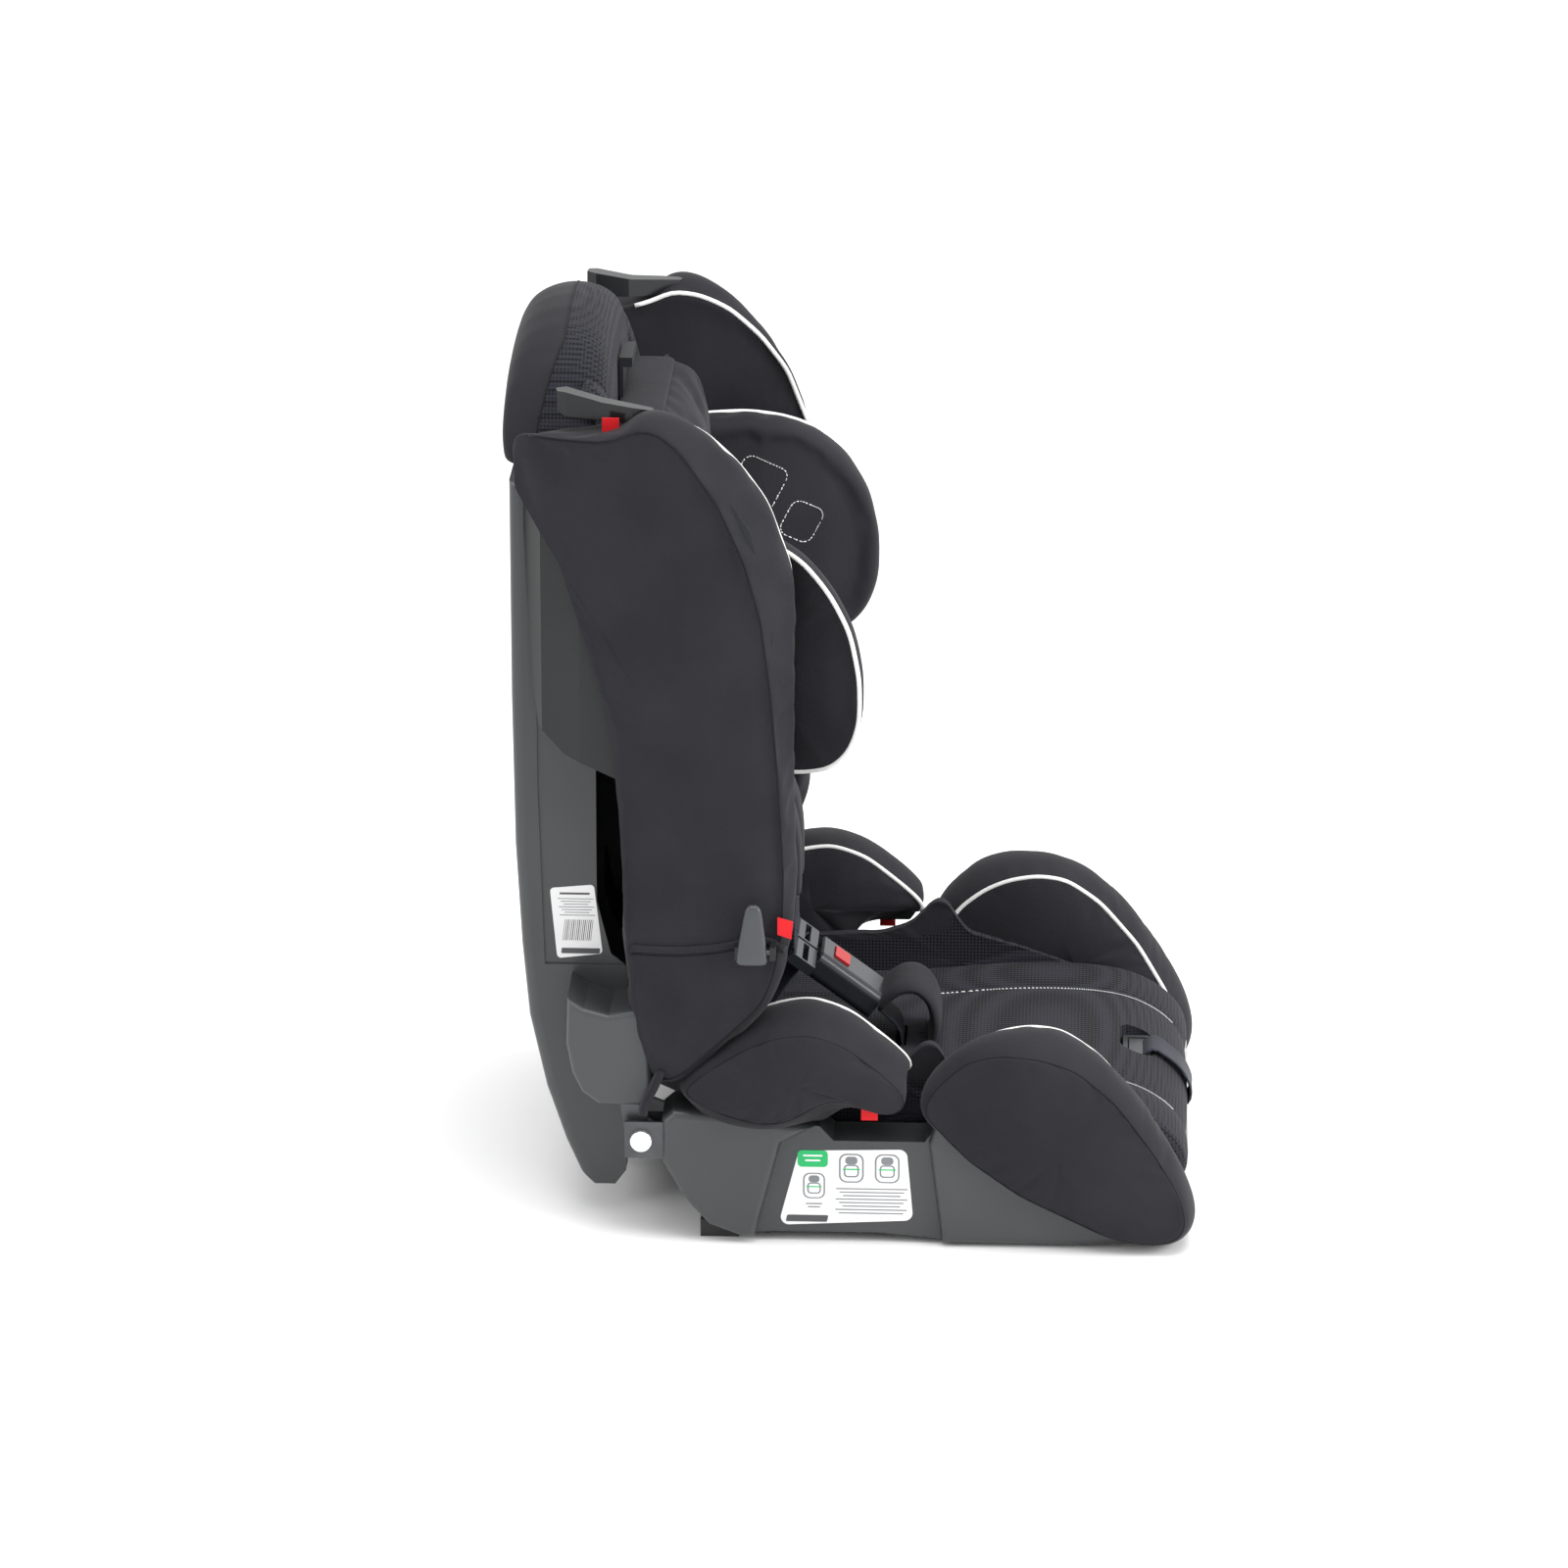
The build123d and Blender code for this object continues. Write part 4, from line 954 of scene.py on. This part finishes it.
def tape_tab(points, faces, corners, thick):
    """Adds one folded tab of tape, four corners and a thickness in y, in mm."""
    start = len(points)
    for y_shift in (0, thick):
        points += [(x / 1000, (y + y_shift) / 1000, z / 1000) for x, y, z in corners]
    faces += [tuple(start + k for k in side) for side in
              ((0, 1, 2, 3), (7, 6, 5, 4), (0, 4, 5, 1), (1, 5, 6, 2), (2, 6, 7, 3), (3, 7, 4, 0))]


GUIDE_TAB = [(-179, 181, 614), (-167, 181, 614), (-167, 180, 601.5), (-179, 180, 601.5)]
FRONT_TAB = [(-54, 214, 254), (-43, 212, 250), (-44, 212, 237), (-54, 214, 241)]
TAB_THICK = 1.6
tab_points, tab_faces = [], []
for sign in (-1, 1):
    for corners in (GUIDE_TAB, FRONT_TAB):
        tape_tab(tab_points, tab_faces, [(x, sign * y, z) for x, y, z in corners], sign * TAB_THICK)
tabs = mesh_piece("belt_tag_tabs", tab_points, tab_faces, RED_TAPE, smooth=False)
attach(tabs, "back")
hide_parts("back_belt_tags")


# ---------------------------------------------------------------- cover loops
# Short elastic loops in the covers' own knit, sewn to the lower ends of the wing covers and
# hooked under the edge of the shell to keep the covers tight.
LOOP = [(-138, 134), (-143, 122), (-149, 110), (-152, 101)]
LOOP_Y = -0.2085
loop = sweep("cover_loop_right", at_width(smooth_path(LOOP, 0.003), LOOP_Y), sleeve_section(0.017, 0.006, 8),
             KNIT, across=(0, 1, 0.2))
for piece in (loop, mirrored(loop, "cover_loop_left")):
    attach(piece, "back")


# ---------------------------------------------------------------- back label
# A white data sticker on the spine's right-hand recess, printed with plain rules and bars.
dress("back_label", STICKER)
back_marks = [(-204, 246, 22, 1.6, 0.08, 0.5, 2)]
for row in range(7):
    back_marks.append((-203.4 + 0.2 * row, 242 - 2.1 * row, 26 - 4 * (row % 3), 0.6, 0.08, 0.25, 1))
for bar in range(16):
    back_marks.append((-212 + 1.35 * bar, 218, 0.35 + 0.3 * ((bar * 7) % 3) / 2, 16, 0.12, 0.1, 2))
back_marks.append((-200, 202, 28, 4.2, 0.1, 0.8, 2))
BACK_LABEL_Y = -148.85
back_print = printed("back_label_print", BACK_LABEL_Y, back_marks, INKS)
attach(back_print, "back")


# ---------------------------------------------------------------- back cushion
# The back pad in front of the spine: mesh-faced foam, deep below the headrest and thin behind
# it, slit for the shoulder straps and slotted for the headrest's neck.
BACK_FRONT = [(-140, 94), (-137, 110), (-136, 200), (-137, 300), (-142, 330), (-156, 346), (-165, 362),
              (-168, 400), (-168, 480), (-169, 551)]
back_pad = long_cushion("back_cover", BACK_FRONT, 0.144, 0.014, [-0.075, 0.075], MESH, side=-1)
cut_slot(back_pad, (-200, -17, 384), (-150, 17, 600))
for y in (-21, 21):
    cut_slot(back_pad, (-175, y - 18.5, 321.5), (-120, y + 18.5, 329.5))
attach(back_pad, "back")
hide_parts("back_cushion")


# ---------------------------------------------------------------- column hood
# The hood over the top of the spine: plain knit behind, spacer mesh at the front and the
# sides' upper half, joined by flat seams.
HOOD = [(-254.5, 562), (-256, 600), (-254, 625), (-247, 641), (-234, 650.5), (-217, 655.5), (-199, 653.5),
        (-185, 645), (-179.5, 627), (-178.5, 600), (-178.5, 562)]
HOOD_TOP = [(0, 654.5), (30, 653), (60, 648), (80, 641), (100, 627), (114, 607), (124, 584), (130, 566)]
HOOD_LOW = 562
HOOD_HIGH = 654.5
HOOD_HALF = 130
HOOD_MIDDLE_X = -0.215
HOOD_COUNT = 96
HOOD_RINGS = 45
outline = soft_outline(HOOD, HOOD_COUNT, 0.007)


def hood_top(y):
    """The height of the hood's arch at this y, both in mm."""
    return np.interp(abs(y), [p[0] for p in HOOD_TOP], [p[1] for p in HOOD_TOP])


hood_rings = []
for y in np.linspace(-HOOD_HALF, HOOD_HALF, HOOD_RINGS):
    tall = (hood_top(y) - HOOD_LOW) / (HOOD_HIGH - HOOD_LOW)
    deep = (1 - (abs(y) / (HOOD_HALF + 3)) ** 24) ** 0.5
    hood_rings.append(np.column_stack([HOOD_MIDDLE_X + (outline[:, 0] - HOOD_MIDDLE_X) * deep,
                                       np.full(HOOD_COUNT, y / 1000),
                                       HOOD_LOW / 1000 + (outline[:, 1] - HOOD_LOW / 1000) * tall]))
hood_points = np.vstack(hood_rings + [hood_rings[0].mean(0), hood_rings[-1].mean(0)])
hood = mesh_piece("column_hood", hood_points, ring_faces(HOOD_RINGS, HOOD_COUNT), [KNIT, MESH])
refine(hood)
face_out(hood, (HOOD_MIDDLE_X, 0, 0.59))
SIDE_SEAM = [(-212, 652), (-212.5, 643), (-219, 629), (-226, 606), (-231, 581)]
seam_x = np.array([p[0] for p in SIDE_SEAM][::-1]) / 1000
seam_z = np.array([p[1] for p in SIDE_SEAM][::-1]) / 1000
for face in hood.data.polygons:
    centre = face.center
    ahead = centre.x > np.interp(centre.z, seam_z, seam_x)
    face.material_index = 1 if ahead and centre.z > 0.583 else 0
hood_tree = surface_of(hood)
rise = []
for y in np.linspace(-126, 126, 90):
    top = hood_top(y) / 1000
    if top > 0.584:
        rise.append((np.interp(top, seam_z, seam_x), y / 1000, 0.8))
spots, normals = lay_on(hood_tree, rise, (0, 0, -1))
# A near-black cord over the top where knit meets mesh: painted shade in the seam's groove.
hood_shade_cord = sweep("hood_top_seam_shade", even(spots, 0.003), round_section(0.0007, 6), SEAM_SHADE)
cut_slot(hood, (-200, -17, 500), (-140, 17, 571))
for piece in (hood, hood_shade_cord):
    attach(piece, "back")
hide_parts("column_cover")

# ---------------------------------------------------------------- yoke pads
# Two small mesh pads sewn to the back cushion beside the hood, filling the corner between
# the column and the wing covers.
SHOULDER_PAD = [(-169, 552), (-170.5, 566), (-176, 588), (-183, 608), (-191, 622)]
YOKE_Y = 0.107
yoke = long_cushion("yoke_pad_left", SHOULDER_PAD, 0.017, 0.010, [], MESH, crown=0.002, side=-1)
yoke.data.transform(Matrix.Translation((0, YOKE_Y, 0)))
yoke_right = mirrored(yoke, "yoke_pad_right")
for piece in (yoke, yoke_right):
    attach(piece, "back")


# ---------------------------------------------------------------- headrest rails
# Two bright rods in moulded blocks inside the spine, the notched height strip between them,
# and the sliding block that carries the headrest.
dress("rod_mounts", SHELL)
dress("height_rack", SHELL)
dress("headrest_slider", GREY_PLASTIC)


# ---------------------------------------------------------------- headrest
# A moulded carrier with flared cheeks. A centre pillow and two deep side pads are sewn in
# stretch knit, piped round the outer seam and topstitched with two rounded squares.
dress("headrest_shell", DARK_SHELL)


def facing_front(points):
    """Turns a pad drawn flat on its side, (along y, depth, height), to face the front."""
    turned = points.copy()
    turned[:, 0] = points[:, 1]
    turned[:, 1] = points[:, 0]
    return turned


PILLOW = [(-112, 352), (112, 352), (112, 568), (98, 581), (-98, 581), (-112, 568)]
pillow, pillow_seams = sewn_pad("headrest_pillow", PILLOW, None, [(-120, -149), (120, -149)],
                                [(-120, -126), (0, -123), (120, -126)], KNIT, crown=0, dome_out=0, dome_in=7,
                                wrap=0.016, count=140, soften=0.012, limit=0.005,
                                turn=facing_front)
lid_path = [(-0.160, y, 0.5815) for y in np.linspace(-0.086, 0.086, 40)]
lid = sweep("headrest_lid", lid_path, sleeve_section(0.034, 0.0065, 10), KNIT, across=(1, 0, 0))
refine(lid)
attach(lid, "headrest")
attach(pillow, "headrest")
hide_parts("headrest_pad")

CHEEK = [(-149, 353), (-60, 347), (-40, 347), (-17, 354), (-4, 368), (3, 389), (3, 422), (-4, 457),
         (-19, 485), (-39, 506), (-63, 518), (-92, 524), (-125, 524), (-149, 522)]
CHEEK_OUT_Y = [(-152, -134), (-146, -139), (-100, -150), (-62, -159), (-36, -168), (-20, -176), (0, -181),
               (8, -181)]
CHEEK_IN_Y = [(-152, -118), (-118, -116), (-80, -124), (-34, -138), (-2, -156), (8, -164)]
cheek, cheek_seams = sewn_pad("headrest_cheek_right", CHEEK, None, CHEEK_OUT_Y, CHEEK_IN_Y, KNIT, crown=3,
                              dome_out=3, dome_in=4, wrap=0.013, count=140, soften=0.008, limit=0.005)
cheek_pipe = sweep("headrest_piping_right", cheek_seams[0], round_section(PIPE_R), PIPING, closed=True)
cheek_tree = surface_of(cheek)


def rounded_square(cx, cz, wide, high, corner, tilt):
    """The outline of a tilted rounded square of topstitching, (x, z) in mm."""
    line = []
    for turn, (sx, sz) in enumerate([(1, 1), (-1, 1), (-1, -1), (1, -1)]):
        for k in range(7):
            a = math.radians(90 * turn + 15 * k)
            px = sx * (wide / 2 - corner) + corner * math.cos(a)
            pz = sz * (high / 2 - corner) + corner * math.sin(a)
            line.append((cx + px * math.cos(tilt) - pz * math.sin(tilt),
                         cz + px * math.sin(tilt) + pz * math.cos(tilt)))
    return line + line[:1]


cheek_parts = [cheek, cheek_pipe]
for number, (cx, cz, wide, high) in enumerate([(-87, 470, 36, 46), (-52, 443, 26, 28)]):
    outline = even(np.array(rounded_square(cx, cz, wide, high, 7, math.radians(-28))), 1.5) / 1000
    spots, normals = lay_on(cheek_tree, [(x, -0.10, z) for x, z in outline], (0, -1, 0))
    stitches = topstitch(f"headrest_stitching_{number}_right", spots, normals, PIPING, 0.0030, 0.0016)
    cheek_parts.append(stitches)
cheek_parts_left = [mirrored(piece, piece.name.replace("_right", "_left")) for piece in cheek_parts]
for piece in cheek_parts + cheek_parts_left:
    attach(piece, "headrest")
for piece, side in ((cheek, "right"), (cheek_parts_left[0], "left")):
    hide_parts("headrest_wing_" + side)
dress("headrest_release", DARK_SHELL)


# ---------------------------------------------------------------- shoulder belt guides
# Polished black nylon hooks on the tops of the wings that hold the vehicle's shoulder belt,
# each with a red webbing loop.
GLOSS = moulded("gloss_black", (0.008, 0.009, 0.010), 0.2, 0.05, Coat_Weight=0.1, Specular_IOR_Level=0.3)
dress("shoulder_guide_right", GLOSS)
dress("shoulder_guide_left", GLOSS)


# ---------------------------------------------------------------- lock-off levers
# Moulded levers standing out of the wings' pockets, on steel pins in the wing shell.
# Height, half width, half thickness and middle x of the lever, from its foot up.
LEVER = [(221, 9.5, 2.4, -72), (222.5, 11.2, 3.8, -72), (228, 11.2, 4.2, -72), (240, 9.4, 4.0, -71.6),
         (252, 7.6, 3.8, -71.2), (260, 6.4, 3.6, -71), (264.5, 5.2, 3.2, -71), (266.5, 3.0, 2.0, -71)]
LEVER_Y = -224.6
LEVER_COUNT = 28
lever_rings = []
turn = np.linspace(0, 2 * math.pi, LEVER_COUNT, endpoint=False)
for z, half, deep, middle in LEVER:
    flat_x = np.sign(np.cos(turn)) * np.abs(np.cos(turn)) ** 0.6 * half + middle
    flat_y = np.sign(np.sin(turn)) * np.abs(np.sin(turn)) ** 0.6 * deep + LEVER_Y
    lever_rings.append(np.column_stack([flat_x, flat_y, np.full(LEVER_COUNT, z)]) / 1000)
lever_points = np.vstack(lever_rings + [lever_rings[0].mean(0), lever_rings[-1].mean(0)])
lever = mesh_piece("lockoff_paddle_right", lever_points, ring_faces(len(LEVER), LEVER_COUNT), GREY_PLASTIC)
refine(lever)
lever_left = mirrored(lever, "lockoff_paddle_left")
for piece, side in ((lever, "right"), (lever_left, "left")):
    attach(piece, "lockoff_" + side)
    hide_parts("lockoff_lever_" + side)


# ---------------------------------------------------------------- harness straps
# Dark blue-grey webbing from the slits in the back to the buckle's tongues, with a foam
# sleeve on each shoulder and a short strap from each tongue down to the seat.
SHOULDER = [(-165, 325), (-140, 325), (-112, 321.5), (-84, 309), (-60, 283), (-49.5, 250), (-48.5, 215),
            (-50, 185), (-50, 166), (-47.5, 157)]
SLEEVE = [(-118, 321), (-104, 317.5), (-82, 306), (-60, 281), (-50.5, 250), (-49.5, 205)]
STRAP_Y = -0.021
shoulder_right = strap("shoulder_webbing_right", SHOULDER, STRAP_Y, 0.034, TAPE_THICK, WEBBING)
sleeve_right = sweep("shoulder_sleeve_right", at_width(smooth_path(SLEEVE, 0.004), STRAP_Y),
                     sleeve_section(0.038, 0.0095, 10), KNIT, across=(0, 1, 0))
refine(sleeve_right)
HIP = [(-118, 78), (-100, 92.5), (-76, 118), (-54, 146), (-47, 153)]
HIP_TOP = (-0.052, -0.020)
turned = math.radians(24)
hip_path = []
for x, z in smooth_path(HIP, 0.003):
    back = x - HIP_TOP[0]
    hip_path.append((HIP_TOP[0] + back * math.cos(turned), HIP_TOP[1] + back * math.sin(turned), z))
hip_right = sweep("hip_webbing_right", hip_path, flat_section(0.030, TAPE_THICK), WEBBING,
                  across=(-math.sin(turned), math.cos(turned), 0))
for right in (shoulder_right, sleeve_right, hip_right):
    left = mirrored(right, right.name.replace("_right", "_left"))
    for piece, side in ((right, "_right"), (left, "_left")):
        if "hip" in piece.name:
            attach(piece, "base")
            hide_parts("hip_strap" + side)
            continue
        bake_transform(piece)
        if "sleeve" in piece.name:
            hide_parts("shoulder_pad" + side)
        else:
            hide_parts("shoulder_strap" + side)


# ---------------------------------------------------------------- studio
# A pale sweep of floor, a large soft light overhead and one at each side, and the camera.
FLOOR = finish_of("studio_floor", 0.22, Specular_IOR_Level=0.35)
mottle(FLOOR, (0.93, 0.93, 0.93), (0.95, 0.95, 0.95), 0.5)
FAR = 30.0
floor = mesh_piece("studio_floor", [(-FAR, -FAR, 0), (FAR, -FAR, 0), (FAR, FAR, 0), (-FAR, FAR, 0)],
                   [(0, 1, 2, 3)], FLOOR)
world = bpy.data.worlds.new("studio")
bpy.context.scene.world = world
world.use_nodes = True
world.node_tree.nodes["Background"].inputs["Color"].default_value = (1, 1, 1, 1)
world.node_tree.nodes["Background"].inputs["Strength"].default_value = 1.0


def soft_light(name, place, aim, size, power):
    """A square area light pointed at a spot."""
    data = bpy.data.lights.new(name, "AREA")
    data.shape, data.size, data.energy = "SQUARE", size, power
    made = bpy.data.objects.new(name, data)
    made.location = place
    made.rotation_mode = "QUATERNION"
    made.rotation_quaternion = (Vector(aim) - Vector(place)).to_track_quat("-Z", "Y")
    bpy.context.scene.collection.objects.link(made)


bpy.context.scene.view_settings.view_transform = "Standard"
soft_light("overhead", (0.3, -0.5, 3.2), (0, 0, 0.3), 2.4, 80)
soft_light("front_left", (-2.6, -2.2, 1.6), (-0.1, 0, 0.3), 1.6, 25)
soft_light("front_right", (2.7, -1.2, 1.5), (0.1, 0, 0.3), 1.6, 75)

VIEW_AZIMUTH, VIEW_ELEVATION = math.radians(2.579), math.radians(18.963)
AIM = Vector((-0.059, 0.0, 0.281))
DISTANCE = 5.635
SENSOR = 36.0
LENS = 174.84
toward = Vector((math.sin(VIEW_AZIMUTH) * math.cos(VIEW_ELEVATION),
                 -math.cos(VIEW_AZIMUTH) * math.cos(VIEW_ELEVATION), math.sin(VIEW_ELEVATION)))
camera_data = bpy.data.cameras.new("camera")
camera_data.sensor_width = SENSOR
camera_data.lens = LENS
camera = bpy.data.objects.new("camera", camera_data)
camera.location = AIM + toward * DISTANCE
camera.rotation_mode = "QUATERNION"
camera.rotation_quaternion = (-toward).to_track_quat("-Z", "Y")
bpy.context.scene.collection.objects.link(camera)
bpy.context.scene.camera = camera
